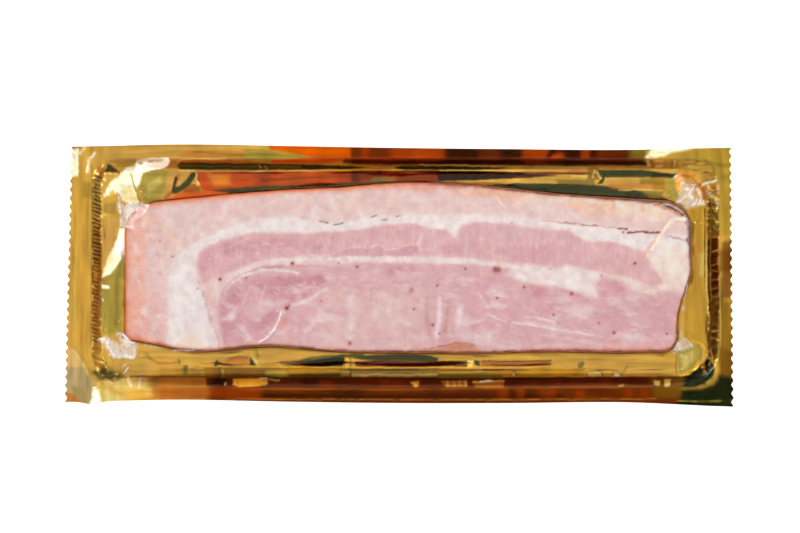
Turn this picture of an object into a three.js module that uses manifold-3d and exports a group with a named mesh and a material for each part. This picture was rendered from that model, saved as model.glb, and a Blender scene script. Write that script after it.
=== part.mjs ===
import * as THREE from "three";
import { mergeVertices } from "three/addons/utils/BufferGeometryUtils.js";
import Module from "manifold-3d";

// A slab of smoked streaky bacon in a vacuum pack. The slab lies cut face up in a tray that is drawn
// from gold forming film, and a clear lid film is sealed to the tray's flange and clings to the slab.
// Millimetres, +Z up. The origin is the middle of the flat base, at the level it rests on. +X runs
// along the pack, and +Y points to the slab's smoked rind side.

// Driving sizes
const PACK_LENGTH = 241;
const PACK_WIDTH = 94.5;
const FLANGE_HEIGHT = 14;
const SLAB_TOP = 26;
const TRAY_FILM = 0.5;
const LID_FILM = 0.4;
const GAP = 0.3;

// Three rounded outlines, from the pack's middle: where the flange turns down, where the tray's
// sloping wall ends in the trough round the slab, and the slab itself.
const SHOULDER = {
  left: -110.9, right: 115.6, bottom: -40, top: 42.4,
  radius: { br: 14, tr: 8, tl: 9, bl: 10 },
};
const TROUGH = {
  left: -106.7, right: 110.7, bottom: -34.6, top: 37.8,
  radius: { br: 10, tr: 8, tl: 9, bl: 8 },
};
const SLAB = {
  left: -97.9, right: 104.4, bottom: -26.5, top: 28,
  radius: { br: 5.5, tr: 9.5, tl: 12, bl: 2.5 },
};

// The ends of the pack lean in a little towards the rind side, and its long edges aren't cut quite
// straight: how far each is short of the full width, at even steps from left to right.
const LEFT_END_LEAN = 2.4;
const RIGHT_END_LEAN = 0.8;
const LEAN_FROM = 4;
const RIND_SIDE_TRIM = [0.8, 0, 0.6, 1.3, 1.7, 2, 1.2];
const BELLY_SIDE_TRIM = [1.6, 2.5, 1.8, 1.3, 1.3, 1.6, 0];

// How far the slab's two long edges lie from the pack's middle, at even steps from left to right.
const RIND_EDGE = [25.2, 27.5, 29.8, 31.1, 32.9, 31.9, 29.2, 27.5, 26.1];
const BELLY_EDGE = [-22.6, -26.8, -25, -26.8, -27.3, -27.5, -26.8, -27.3, -27];
// The right end is cut back over its belly half.
const CUT_BACK = { depth: 4.8, from: 3, to: -16 };

// The slab's side, from its base up: how far it stands out from the face's outline at each height.
const SLAB_BASE = TRAY_FILM + GAP;
const SIDE = [
  { z: SLAB_BASE, out: -4 },
  { z: SLAB_BASE + 0.9, out: -1.5 },
  { z: SLAB_BASE + 3.4, out: 0 },
  { z: 8.6, out: 0.5 },
  { z: 16, out: 0.7 },
  { z: SLAB_TOP - 3.5, out: 0.45 },
  { z: SLAB_TOP - 0.9, out: 0 },
  { z: SLAB_TOP, out: -0.9 },
];
// The cut face's low swells: how high they are, and how far apart they lie along and across the slab
const FACE_RELIEF = 0.35;
const SHORT_SWELL = { along: 13, across: 9, start: 0.8 };
const LONG_SWELL = { along: 31, across: 12 };

// The tray's surface below the flange: how far its wall falls, the shares of its width and depth where
// it bends, how high the trough lies at the slab, and how far from the slab it ends in the pocket.
const WALL_DEPTH = 2.6;
const WALL_BEND = { across: 0.45, down: 0.55 };
const TROUGH_HEIGHT = 11.1;
const TROUGH_RISE = 0.1;
const FOOT_REACH = 0.9;
// The pocket clings to the slab. Its facets cut the corners of a curved side, so they keep a little
// more than the gap.
const CLING = GAP + 0.06;
const POCKET_TOP = TROUGH_HEIGHT - 1.2;
const POCKET_EDGE = [
  { z: SLAB_BASE + 0.55, out: -1.25 },
  { z: TRAY_FILM, out: -3.6 },
];
// Puckers across the short walls, and the share of them that reaches the trough
const PUCKER = 0.45;
const TROUGH_PUCKER = 0.6;

// The lid: its heights up the slab's side, how far in it turns over the face, and its loose ears at the
// slab's corners: how far each stands off, and the shares of that by which it does at the trough.
const LID_SIDE = [TROUGH_HEIGHT + 3.4, SLAB_TOP - 4.2, SLAB_TOP - 0.7];
const LID_EDGE_INSET = 1;
const FACE_RING_INSET = 0.35;
const EAR_REACH = { br: 3, tr: 4.5, tl: 5, bl: 4 };
const EAR_FOOT = 0.3;
const EAR_RISE = 0.25;

// The flange's bottom left corner is bent down beyond a crease, and its long edges wave a little.
const CREASE = { x: -117, y: -26.8, angle: 226 };
const CREASE_SLOPE = 0.24;
const FLANGE_WAVE = 0.35;
const WAVE_LENGTH = 150;
const WAVE_FROM = 30;

// The serrated ends, and how far past them the shape that cuts them reaches
const TEETH = 30;
const TOOTH_DEPTH = 0.8;
const CUTTER_REACH = 4;

// How finely each ring round the pack is cut
const LONG_RUN = 16;
const SHORT_RUN = 19;
const CORNER_STEPS = 4;
// Points closer than this are one, and triangles smaller than this are left out.
const SAME_POINT = 1e-4;
const NO_AREA = 1e-6;

const { lerp, clamp, smoothstep, degToRad } = THREE.MathUtils;
const wasm = await Module();
wasm.setup();

// Where each point of a ring lies: on one of the four sides, or on the arc at one of the corners.
// The order is anticlockwise from the left end of the bottom side.
const PLACES = [];
const SIDES_AND_CORNERS = [
  ["bottom", "br", LONG_RUN],
  ["right", "tr", SHORT_RUN],
  ["top", "tl", LONG_RUN],
  ["left", "bl", SHORT_RUN],
];
for (const [side, corner, count] of SIDES_AND_CORNERS) {
  for (let i = 1; i <= count; i += 1) PLACES.push({ side, step: i, steps: count + 1 });
  for (let i = 0; i <= CORNER_STEPS; i += 1) PLACES.push({ corner, step: i, steps: CORNER_STEPS });
}

// A smooth curve through values at even steps, read at a share from 0 to 1.
function along(values, share) {
  const at = clamp(share, 0, 1) * (values.length - 1);
  const i = Math.min(Math.floor(at), values.length - 2);
  const value = (k) => values[clamp(k, 0, values.length - 1)];
  const [a, b, c, d] = [value(i - 1), value(i), value(i + 1), value(i + 2)];
  const t = at - i;
  return b + 0.5 * t * (c - a + t * (2 * a - 5 * b + 4 * c - d + t * (3 * (b - c) + d - a)));
}

// A rounded rectangle as one point for each place, grown outwards by some distance.
function outlineRing(outline, grow = 0) {
  const { left, right, bottom, top, radius } = outline;
  const [x0, x1, y0, y1] = [left - grow, right + grow, bottom - grow, top + grow];
  const r = {};
  for (const [name, size] of Object.entries(radius)) r[name] = Math.max(size + grow, 0);
  const runs = {
    bottom: [x0 + r.bl, y0, x1 - r.br, y0],
    right: [x1, y0 + r.br, x1, y1 - r.tr],
    top: [x1 - r.tr, y1, x0 + r.tl, y1],
    left: [x0, y1 - r.tl, x0, y0 + r.bl],
  };
  const arcs = {
    br: [x1 - r.br, y0 + r.br, -90],
    tr: [x1 - r.tr, y1 - r.tr, 0],
    tl: [x0 + r.tl, y1 - r.tl, 90],
    bl: [x0 + r.bl, y0 + r.bl, 180],
  };
  return PLACES.map(({ side, corner, step, steps }) => {
    if (side) {
      const [ax, ay, bx, by] = runs[side];
      return new THREE.Vector3(lerp(ax, bx, step / steps), lerp(ay, by, step / steps), 0);
    }
    const [cx, cy, from] = arcs[corner];
    const angle = degToRad(from + (90 * step) / steps);
    return new THREE.Vector3(cx + r[corner] * Math.cos(angle), cy + r[corner] * Math.sin(angle), 0);
  });
}

// The pack's cut outline, before its teeth.
function packRing() {
  const ring = outlineRing({
    left: -PACK_LENGTH / 2, right: PACK_LENGTH / 2, bottom: -PACK_WIDTH / 2, top: PACK_WIDTH / 2,
    radius: { br: 0, tr: 0, tl: 0, bl: 0 },
  });
  for (const p of ring) {
    const share = p.x / PACK_LENGTH + 0.5;
    const trim = Math.max(0, along(p.y > 0 ? RIND_SIDE_TRIM : BELLY_SIDE_TRIM, share));
    p.x = leaned(p.x, p.y);
    p.y *= 1 - trim / (PACK_WIDTH / 2);
  }
  return ring;
}

// Both ends of the pack lean in towards +Y.
function leaned(x, y) {
  const up = Math.max(0, (y + PACK_WIDTH / 2 - LEAN_FROM) / (PACK_WIDTH - LEAN_FROM));
  const lean = x < 0 ? LEFT_END_LEAN : -RIGHT_END_LEAN;
  return x + (lean * up * Math.abs(x)) / (PACK_LENGTH / 2);
}

// The slab's outline: the rounded rectangle with its long edges bowed and its right end cut back.
function slabRing(grow, z) {
  const ring = outlineRing(SLAB, grow);
  for (const p of ring) {
    const share = (p.x - SLAB.left) / (SLAB.right - SLAB.left);
    const rind = along(RIND_EDGE, share) - SLAB.top;
    const belly = along(BELLY_EDGE, share) - SLAB.bottom;
    const cut = CUT_BACK.depth * (1 - smoothstep(p.y, CUT_BACK.to, CUT_BACK.from));
    p.y += rind * clamp(p.y / SLAB.top, 0, 1) + belly * clamp(p.y / SLAB.bottom, 0, 1);
    p.x -= cut * clamp((p.x - SLAB.right / 2) / (SLAB.right / 2), 0, 1);
    p.z = z;
  }
  return ring;
}

// How far the slab's side stands out from the face's outline at a height.
function sideOut(z) {
  const i = Math.max(1, SIDE.findIndex((level) => level.z >= z));
  const [below, above] = [SIDE[i - 1], SIDE[i]];
  return lerp(below.out, above.out, (z - below.z) / (above.z - below.z));
}

// A ring that closes a surface: every place falls on a straight spine inside the slab.
const SPINE = { left: -62, right: 66, y: 2 };
function spineRing(z) {
  return PLACES.map(({ side, corner, step, steps }) => {
    const end = corner ? (corner === "br" || corner === "tr") : side === "right";
    const share = { bottom: step, top: steps - step }[side] ?? (end ? steps : 0);
    return new THREE.Vector3(lerp(SPINE.left, SPINE.right, share / steps), SPINE.y, z);
  });
}

function mixRings(a, b, share, z = () => 0) {
  return a.map((p, i) => {
    const q = p.clone().lerp(b[i], share);
    q.z = z(q, i);
    return q;
  });
}

// The flange's height: level, with a slight wave in its long sides, and bent down beyond the crease.
function flangeHeight(x, y) {
  const angle = degToRad(CREASE.angle);
  const beyond = (x - CREASE.x) * Math.cos(angle) + (y - CREASE.y) * Math.sin(angle);
  const wave = FLANGE_WAVE * Math.sin((2 * Math.PI * x) / WAVE_LENGTH) * clamp(y / WAVE_FROM, -1, 1);
  return FLANGE_HEIGHT + wave - CREASE_SLOPE * Math.max(0, beyond);
}

// Crosswise puckers, on the short walls alone.
function pucker(place) {
  const onShortSide = place.side === "left" || place.side === "right";
  return onShortSide ? PUCKER * (place.step % 2 ? 1 : -1) : 0;
}

// The tray's upper surface, as rings from the pack's edge to the foot of the slab.
const packEdge = packRing();
const shoulder = outlineRing(SHOULDER);
const trough = outlineRing(TROUGH);
const foot = slabRing(sideOut(TROUGH_HEIGHT) + FOOT_REACH, 0);
const level = (p) => flangeHeight(p.x, p.y);
const puckered = (drop, share) => (p, i) => FLANGE_HEIGHT - drop + share * pucker(PLACES[i]);
const outerRings = [
  mixRings(packEdge, shoulder, 0, level),
  mixRings(packEdge, shoulder, 0.5, level),
  mixRings(packEdge, shoulder, 1, level),
  mixRings(shoulder, trough, WALL_BEND.across, puckered(WALL_DEPTH * WALL_BEND.down, 1)),
  mixRings(shoulder, trough, 1, puckered(WALL_DEPTH, TROUGH_PUCKER)),
  mixRings(trough, foot, 0.5, () => TROUGH_HEIGHT + TROUGH_RISE),
  mixRings(trough, foot, 1, () => TROUGH_HEIGHT),
];

// A surface that clings to the slab's side at some heights, one ring for each.
function clingRings(heights) {
  return heights.map((z) => slabRing(sideOut(z) + CLING, z));
}

// The way straight out from the slab's side, for each place.
const sideRing = slabRing(0, 0);
const insetRing = slabRing(-10, 0);
const outwards = sideRing.map((p, j) => p.clone().sub(insetRing[j]).normalize());

// Each ring point moved along the surface's own normal, or straight up in the first few rings, which
// are the flange and the trough, so that a film there is as thick but keeps its place seen from above.
const STEEPEST = 0.6;
function offsetRings(rings, distance) {
  return rings.map((ring, i) => ring.map((p, j) => {
    const before = ring[(j + ring.length - 1) % ring.length];
    const after = ring[(j + 1) % ring.length];
    const outer = rings[Math.max(i - 1, 0)][j];
    const inner = rings[Math.min(i + 1, rings.length - 1)][j];
    const normal = after.clone().sub(before).cross(inner.clone().sub(outer));
    if (i === 0 || normal.lengthSq() < NO_AREA) normal.set(0, 0, 1);
    normal.normalize();
    if (i < outerRings.length - 1) normal.set(0, 0, 1 / Math.max(normal.z, STEEPEST));
    return p.clone().addScaledVector(normal, distance);
  }));
}

// The triangles of a surface through a grid of rings, two for each step along each pair of rings.
// Those with no area, as on a spine, are left out.
function ringTriangles(rings, inwards = false) {
  const triangles = [];
  for (let i = 0; i + 1 < rings.length; i += 1) {
    const [outer, inner] = [rings[i], rings[i + 1]];
    outer.forEach((p, j) => {
      const k = (j + 1) % outer.length;
      triangles.push([p, outer[k], inner[k]], [p, inner[k], inner[j]]);
    });
  }
  const area = ([a, b, c]) => b.clone().sub(a).cross(c.clone().sub(a)).length();
  const whole = triangles.filter((corners) => area(corners) > NO_AREA);
  return inwards ? whole.map(([a, b, c]) => [a, c, b]) : whole;
}

function closedSolid(triangles) {
  const position = triangles.flat().flatMap((p) => p.toArray());
  const geometry = new THREE.BufferGeometry();
  geometry.setAttribute("position", new THREE.Float32BufferAttribute(position, 3));
  return toSolid(geometry);
}

// A film's two surfaces make one closed sheet, joined round the pack's edge.
function filmSolid(upper, lower) {
  return closedSolid([
    ...ringTriangles(upper),
    ...ringTriangles(lower, true),
    ...ringTriangles([lower[0], upper[0]]),
  ]);
}

function toSolid(geometry) {
  const bare = geometry.clone();
  bare.deleteAttribute("normal");
  bare.deleteAttribute("uv");
  const merged = mergeVertices(bare, SAME_POINT);
  return new wasm.Manifold(new wasm.Mesh({
    numProp: 3,
    vertProperties: merged.attributes.position.array,
    triVerts: new Uint32Array(merged.index.array),
  }));
}

function toGeometry(solid) {
  const { vertProperties, triVerts } = solid.getMesh();
  const geometry = new THREE.BufferGeometry();
  geometry.setAttribute("position", new THREE.BufferAttribute(vertProperties, 3));
  geometry.setIndex(new THREE.BufferAttribute(triVerts, 1));
  geometry.computeVertexNormals();
  return geometry;
}

// What the serrated knife takes off one end of the pack: all beyond a zigzag line.
function endCutter(end) {
  const pitch = PACK_WIDTH / TEETH;
  const beyond = end * (PACK_LENGTH / 2 + CUTTER_REACH);
  const zigzag = new THREE.Shape();
  zigzag.moveTo(beyond, -PACK_WIDTH / 2 - pitch);
  for (let i = -2; i <= 2 * TEETH + 2; i += 1) {
    const y = -PACK_WIDTH / 2 + (pitch * i) / 2;
    const tip = PACK_LENGTH / 2 - (i % 2 ? TOOTH_DEPTH : 0);
    zigzag.lineTo(leaned(end * tip, y), y);
  }
  zigzag.lineTo(beyond, PACK_WIDTH / 2 + pitch);
  zigzag.closePath();
  const height = FLANGE_HEIGHT * 2;
  return toSolid(new THREE.ExtrudeGeometry(zigzag, { depth: height, bevelEnabled: false }));
}

const cutters = [endCutter(-1), endCutter(1)];
const serrated = (solid) => cutters.reduce((rest, cutter) => rest.subtract(cutter), solid);

// The gold tray: flange, sloping wall, trough, and the pocket that clings to the slab's lower half.
function goldTray() {
  const upper = [
    ...outerRings,
    ...clingRings([POCKET_TOP, SIDE[2].z]),
    ...POCKET_EDGE.map(({ z, out }) => slabRing(out, z)),
    spineRing(TRAY_FILM),
  ];
  const lower = offsetRings(upper, -TRAY_FILM);
  for (const p of lower.flat()) p.z = Math.max(p.z, 0);
  lower[lower.length - 2].forEach((p, j) => p.copy(upper[lower.length - 2][j]).setZ(0));
  lower[lower.length - 1] = spineRing(0);
  return serrated(filmSolid(upper, lower));
}

// A low swell over the cut face, where lean and fat have settled unevenly.
function faceHeight(x, y) {
  const short = Math.sin(x / SHORT_SWELL.along + SHORT_SWELL.start) * Math.cos(y / SHORT_SWELL.across);
  const long = Math.sin(x / LONG_SWELL.along - y / LONG_SWELL.across);
  return SLAB_TOP + (FACE_RELIEF / 2) * (short + long);
}

function faceRings(edge, lift) {
  const middle = faceHeight(0, SPINE.y) + lift;
  return [
    mixRings(edge, spineRing(0), FACE_RING_INSET, (p) => faceHeight(p.x, p.y) + lift),
    spineRing(middle),
  ];
}

function baconSlab() {
  const side = SIDE.map(({ z, out }) => slabRing(out, z));
  const edge = side[side.length - 1];
  return closedSolid(ringTriangles([spineRing(SLAB_BASE), ...side, ...faceRings(edge, 0)]));
}

// How far a loose ear of film stands off the slab at a corner: most at its middle, none at its ends.
function earReach({ corner, step, steps }) {
  return corner ? EAR_REACH[corner] * Math.sin((Math.PI * step) / steps) ** 2 : 0;
}

// Rings up the slab's side for the lid: the ears stand off at the foot and close up towards the face.
function lidSideRings() {
  const rings = clingRings(LID_SIDE);
  rings.forEach((ring, i) => {
    const share = (SLAB_TOP - LID_SIDE[i]) / (SLAB_TOP - TROUGH_HEIGHT);
    ring.forEach((p, j) => p.addScaledVector(outwards[j], share * earReach(PLACES[j])));
  });
  return rings;
}

// The clear lid: it lies on the flange and in the trough, climbs the slab's side and covers its face.
function clearLid() {
  const overTray = offsetRings(outerRings, GAP);
  overTray[overTray.length - 1] = outerRings[outerRings.length - 1].map((p, j) => {
    const reach = earReach(PLACES[j]);
    const stood = p.clone().addScaledVector(outwards[j], EAR_FOOT * reach);
    return stood.setZ(TROUGH_HEIGHT + CLING + EAR_RISE * reach);
  });
  const edge = slabRing(-LID_EDGE_INSET, SLAB_TOP + CLING);
  const lower = [...overTray, ...lidSideRings(), edge, ...faceRings(edge, GAP)];
  const upper = offsetRings(lower, LID_FILM);
  const middleHeight = upper[upper.length - 1][0].z;
  upper[upper.length - 1] = spineRing(middleHeight);
  return serrated(filmSolid(upper, lower));
}

function node(name, solid, material) {
  const mesh = new THREE.Mesh(toGeometry(solid), new THREE.MeshStandardMaterial(material));
  mesh.name = name;
  return mesh;
}

const GOLD = { color: 0xc79a2e, roughness: 0.18, metalness: 1 };
const CURED_MEAT = { color: 0xd9a6a2, roughness: 0.5, metalness: 0 };
const CLEAR_FILM = { color: 0xf4f4f4, roughness: 0.08, metalness: 0, transparent: true, opacity: 0.2 };

const pack = new THREE.Group();
pack.add(
  node("gold_tray", goldTray(), GOLD),
  node("bacon_slab", baconSlab(), CURED_MEAT),
  node("clear_lid", clearLid(), CLEAR_FILM),
);

export default pack;
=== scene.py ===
import random
from math import cos, hypot, pi, radians, sin

import bmesh
import bpy
import numpy as np
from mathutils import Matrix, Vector, noise


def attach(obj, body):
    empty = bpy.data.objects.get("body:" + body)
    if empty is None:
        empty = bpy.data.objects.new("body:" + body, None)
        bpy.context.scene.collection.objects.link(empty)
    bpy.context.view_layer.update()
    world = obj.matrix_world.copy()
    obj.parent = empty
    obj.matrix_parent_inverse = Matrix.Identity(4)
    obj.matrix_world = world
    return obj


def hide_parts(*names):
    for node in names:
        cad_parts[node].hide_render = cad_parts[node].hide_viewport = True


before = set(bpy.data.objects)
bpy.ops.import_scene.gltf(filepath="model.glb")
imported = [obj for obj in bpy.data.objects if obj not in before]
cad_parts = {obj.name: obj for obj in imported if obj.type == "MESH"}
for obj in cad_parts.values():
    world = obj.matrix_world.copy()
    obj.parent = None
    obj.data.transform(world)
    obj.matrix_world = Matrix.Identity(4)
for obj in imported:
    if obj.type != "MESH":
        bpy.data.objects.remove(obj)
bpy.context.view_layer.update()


# CAMERA
# It looks straight down on the pack through a long lens, a little above the pack's middle, so that
# 0.36 mm of the flange covers one pixel of an image 800 pixels wide.
MM = 0.001
MM_PER_PX = 0.36
IMAGE_WIDTH = 800
PACK_MIDDLE_PX = (399, 275.5)
IMAGE_MIDDLE_PX = (400, 266.5)
FLANGE_HEIGHT = 14
LENS = 300
SENSOR = 36

camera_data = bpy.data.cameras.new("camera")
camera_data.lens = LENS
camera_data.sensor_width = SENSOR
camera_data.clip_end = 100
camera = bpy.data.objects.new("camera", camera_data)
bpy.context.scene.collection.objects.link(camera)
bpy.context.scene.camera = camera
camera.location = (
    (IMAGE_MIDDLE_PX[0] - PACK_MIDDLE_PX[0]) * MM_PER_PX * MM,
    (PACK_MIDDLE_PX[1] - IMAGE_MIDDLE_PX[1]) * MM_PER_PX * MM,
    FLANGE_HEIGHT * MM + IMAGE_WIDTH * MM_PER_PX * MM * LENS / SENSOR,
)


# STUDIO
# A white table under a pale tent. Small lamps near the corners give the film its hard glints, and
# what the film mirrors gets darker and more broken from the tent's roof down to the table's edge.
def node(tree, kind, inputs=None, **settings):
    """One shader node, with its settings, and its sockets set to values or linked to sockets."""
    made = tree.nodes.new(kind)
    for name, value in settings.items():
        setattr(made, name, value)
    for name, value in (inputs or {}).items():
        if isinstance(value, bpy.types.NodeSocket):
            tree.links.new(value, made.inputs[name])
        else:
            made.inputs[name].default_value = value
    return made


def colour(red, green, blue):
    """A shader colour from the 0 to 255 values that a screen shows."""
    return tuple((channel / 255) ** 2.2 for channel in (red, green, blue)) + (1,)


def new_material(name):
    material = bpy.data.materials.new(name)
    material.use_nodes = True
    material.node_tree.nodes.clear()
    return material, material.node_tree


def put_on(mesh, material, shader):
    """Ends a material in a shader's output socket, and gives it to a mesh."""
    node(material.node_tree, "ShaderNodeOutputMaterial", {"Surface": shader})
    mesh.materials.append(material)


def noise_at(tree, spot, scale, detail):
    inputs = {"Vector": spot, "Scale": scale, "Detail": detail}
    return node(tree, "ShaderNodeTexNoise", inputs).outputs["Fac"]


def reached(tree, value, **limits):
    """A value carried from one range to another, as from_min=0.3, to_max=2."""
    inputs = {name.replace("_", " ").title(): limit for name, limit in limits.items()}
    return node(tree, "ShaderNodeMapRange", {"Value": value, **inputs}).outputs["Result"]


def multiplied(tree, base, tint, share=1.0):
    """A colour multiplied by another one, where the share is 1."""
    inputs = {"Factor": share, 6: base, 7: tint}
    return node(tree, "ShaderNodeMix", inputs, data_type="RGBA", blend_type="MULTIPLY").outputs[2]


def ramp(tree, value, stops):
    """A colour ramp on a 0 to 1 value, from (place, colour) pairs."""
    made = node(tree, "ShaderNodeValToRGB", {"Fac": value})
    elements = made.color_ramp.elements
    while len(elements) < len(stops):
        elements.new(0.5)
    for element, (place, shade) in zip(elements, stops):
        element.position = place
        element.color = shade
    return made.outputs["Color"]


TABLE_HALF_WIDTH = 12
table_mesh = bpy.data.meshes.new("table")
form = bmesh.new()
bmesh.ops.create_grid(form, x_segments=1, y_segments=1, size=TABLE_HALF_WIDTH)
form.to_mesh(table_mesh)
form.free()
table = bpy.data.objects.new("table", table_mesh)
bpy.context.scene.collection.objects.link(table)
table_material, tree = new_material("white_table")
surface = node(tree, "ShaderNodeBsdfPrincipled", {
    "Base Color": (0.9, 0.9, 0.9, 1),
    "Roughness": 0.8,
    "Emission Color": (1, 1, 1, 1),
    "Emission Strength": 0.8,
})
put_on(table_mesh, table_material, surface.outputs["BSDF"])

TENT_LIGHT, MIRRORED_LIGHT = 0.44, 1.35
MIRRORED_TENT = (
    (0.0, colour(150, 146, 132)),
    (0.3, colour(176, 172, 158)),
    (0.55, colour(226, 222, 210)),
    (0.8, colour(250, 248, 240)),
    (1.0, colour(246, 243, 234)),
)

world = bpy.data.worlds.new("tent")
bpy.context.scene.world = world
world.use_nodes = True
tree = world.node_tree
tree.nodes.clear()
direction = node(tree, "ShaderNodeTexCoord").outputs["Generated"]
height = node(tree, "ShaderNodeSeparateXYZ", {"Vector": direction}).outputs["Z"]
shapes = noise_at(tree, direction, 3.2, 1)
broken = ramp(tree, shapes, ((0.4, (0.16, 0.16, 0.14, 1)), (0.6, (1.5, 1.5, 1.45, 1))))
overhead = reached(tree, height, from_min=0.36, from_max=0.6)
whole = node(tree, "ShaderNodeMix", {"Factor": overhead, 6: broken, 7: (1, 1, 1, 1)}, data_type="RGBA")
lit = multiplied(tree, ramp(tree, height, MIRRORED_TENT), whole.outputs[2])
mirrored = node(tree, "ShaderNodeBackground", {"Color": lit, "Strength": MIRRORED_LIGHT})
plain = node(tree, "ShaderNodeBackground", {"Color": (1, 1, 1, 1), "Strength": TENT_LIGHT})
rays = node(tree, "ShaderNodeLightPath")
mixed = node(tree, "ShaderNodeMixShader", {
    "Fac": rays.outputs["Is Glossy Ray"],
    1: plain.outputs["Background"],
    2: mirrored.outputs["Background"],
})
node(tree, "ShaderNodeOutputWorld", {"Surface": mixed.outputs["Shader"]})

# Each lamp's place in metres, its width and depth, and its power in watts
LAMPS = {
    "key_lamp": ((-0.62, 0.5, 1.25), (0.24, 0.16), 5.8),
    "second_lamp": ((0.55, 0.62, 1.3), (0.2, 0.14), 4.2),
    "end_lamp": ((0.75, -0.45, 1.15), (0.2, 0.15), 3),
}
for name, (place, (width, depth), watts) in LAMPS.items():
    lamp = bpy.data.lights.new(name, "AREA")
    lamp.shape = "RECTANGLE"
    lamp.size, lamp.size_y = width, depth
    lamp.energy = watts
    lamp_object = bpy.data.objects.new(name, lamp)
    lamp_object.location = place
    lamp_object.rotation_mode = "QUATERNION"
    lamp_object.rotation_quaternion = Vector(place).to_track_quat("Z", "Y")
    lamp_object.visible_camera = False
    bpy.context.scene.collection.objects.link(lamp_object)
bpy.context.scene.view_settings.view_transform = "Standard"


# GOLD TRAY
# Forming film with a gold lacquer over bright metal, drawn down by vacuum into a shallow pocket. A
# level flange runs round it, then a sloping wall and a trough, and the film clings to the slab below.
PACK_LENGTH, PACK_WIDTH = 240.98, 94.48
GAP = 0.3
TEETH = 30
TOOTH_DEPTH = 0.8
LEFT_END_LEAN, RIGHT_END_LEAN, LEAN_FROM = 2.4, 0.8, 4
RIND_SIDE_TRIM = (0.8, 0, 0.6, 1.3, 1.7, 2, 1.2)
BELLY_SIDE_TRIM = (1.6, 2.5, 1.8, 1.3, 1.3, 1.6, 0)
CORNER_DROOP, CORNER_DROOP_X, CORNER_DROOP_HALF = 1.0, -110.6, 3.6

# Outlines in millimetres: left, right, bottom, top, and the radii of the corners from the bottom left
# one anticlockwise
PACK_OUTLINE = (-PACK_LENGTH / 2, PACK_LENGTH / 2, -PACK_WIDTH / 2, PACK_WIDTH / 2, (0, 0, 0, 0))
SHOULDER = (-110.9, 115.6, -40, 42.4, (10, 14, 8, 9))
TROUGH = (-106.7, 110.7, -34.6, 37.8, (8, 10, 8, 9))
SLAB = (-97.9, 104.4, -26.5, 28, (2.5, 5.5, 9.5, 12))
RIND_EDGE = (25.2, 27.5, 29.8, 31.1, 32.9, 31.9, 29.2, 27.5, 26.1)
BELLY_EDGE = (-22.6, -26.8, -25, -26.8, -27.3, -27.5, -26.8, -27.3, -27)
CUT_BACK, CUT_FROM, CUT_TO = 4.8, 3, -16

# The slab's side from its base up: heights, and how far it stands out from the face's outline
SLAB_BASE, SLAB_TOP = 0.8, 26
SIDE_HEIGHTS = (0.8, 1.7, 4.2, 8.6, 16, 22.5, 25.1, 26)
SIDE_OUT = (-4, -1.5, 0, 0.5, 0.7, 0.45, 0, -0.9)

# Heights across the film, at even steps from the pack's edge to the shoulder, down the wall to the
# trough, and over the trough to the foot of the slab
ACROSS_HEIGHTS = (14, 14, 14, 14, 13.9, 13.35, 12.6, 11.85, 11.4, 11.3, 11.2, 11.15, 11.1)
FOOT_HEIGHT, FOOT_REACH = 11.1, 0.12

LONG_STEPS, SHORT_STEPS = 600, 200


def smooth(low, high, value):
    """0 below low and 1 above high, with a smooth rise between, for a number or an array."""
    share = np.clip((value - low) / (high - low), 0, 1)
    return share * share * (3 - 2 * share)


def along(values, share):
    """A smooth curve through values at even steps, read at shares from 0 to 1."""
    values = np.asarray(values, float)
    at = np.clip(share, 0, 1) * (len(values) - 1)
    i = np.minimum(at.astype(int), len(values) - 2)
    a, b, c, d = (values[np.clip(i + k, 0, len(values) - 1)] for k in (-1, 0, 1, 2))
    t = at - i
    return b + 0.5 * t * (c - a + t * (2 * a - 5 * b + 4 * c - d + t * (3 * (b - c) + d - a)))


def rounded_ring(outline, long_steps, short_steps, grow=0):
    """Points round a rounded rectangle, in even steps on each side, from the bottom left corner."""
    left, right, bottom, top, radii = outline
    radii = [max(r + grow, 0) for r in radii]
    corners = [(left - grow, bottom - grow), (right + grow, bottom - grow)]
    corners += [(right + grow, top + grow), (left - grow, top + grow)]
    inwards = ((1, 1), (-1, 1), (-1, -1), (1, -1))
    centres = [np.add(c, np.multiply(i, r)) for c, i, r in zip(corners, inwards, radii)]
    points = []
    for k in range(4):
        start, end = centres[k], centres[(k + 1) % 4]
        r0, r1 = radii[k], radii[(k + 1) % 4]
        turn = k * pi / 2
        out = np.array((cos(turn - pi / 2), sin(turn - pi / 2)))
        straight = hypot(*(end + out * r1 - start - out * r0))
        steps = short_steps if k % 2 else long_steps
        for s in np.linspace(0, (r0 + r1) * pi / 4 + straight, steps, endpoint=False):
            if s < r0 * pi / 4:
                angle = turn - 3 * pi / 4 + s / r0
                points.append(start + r0 * np.array((cos(angle), sin(angle))))
            elif s < r0 * pi / 4 + straight:
                share = (s - r0 * pi / 4) / straight
                points.append((start + out * r0) * (1 - share) + (end + out * r1) * share)
            else:
                angle = turn - pi / 2 + (s - r0 * pi / 4 - straight) / r1
                points.append(end + r1 * np.array((cos(angle), sin(angle))))
    return np.array(points)


def leaned(points):
    """Both ends of the pack lean in towards the rind side."""
    up = np.maximum(0, (points[:, 1] + PACK_WIDTH / 2 - LEAN_FROM) / (PACK_WIDTH - LEAN_FROM))
    lean = np.where(points[:, 0] < 0, LEFT_END_LEAN, -RIGHT_END_LEAN)
    return points + np.stack((lean * up * abs(points[:, 0]) / (PACK_LENGTH / 2), 0 * up), 1)


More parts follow.
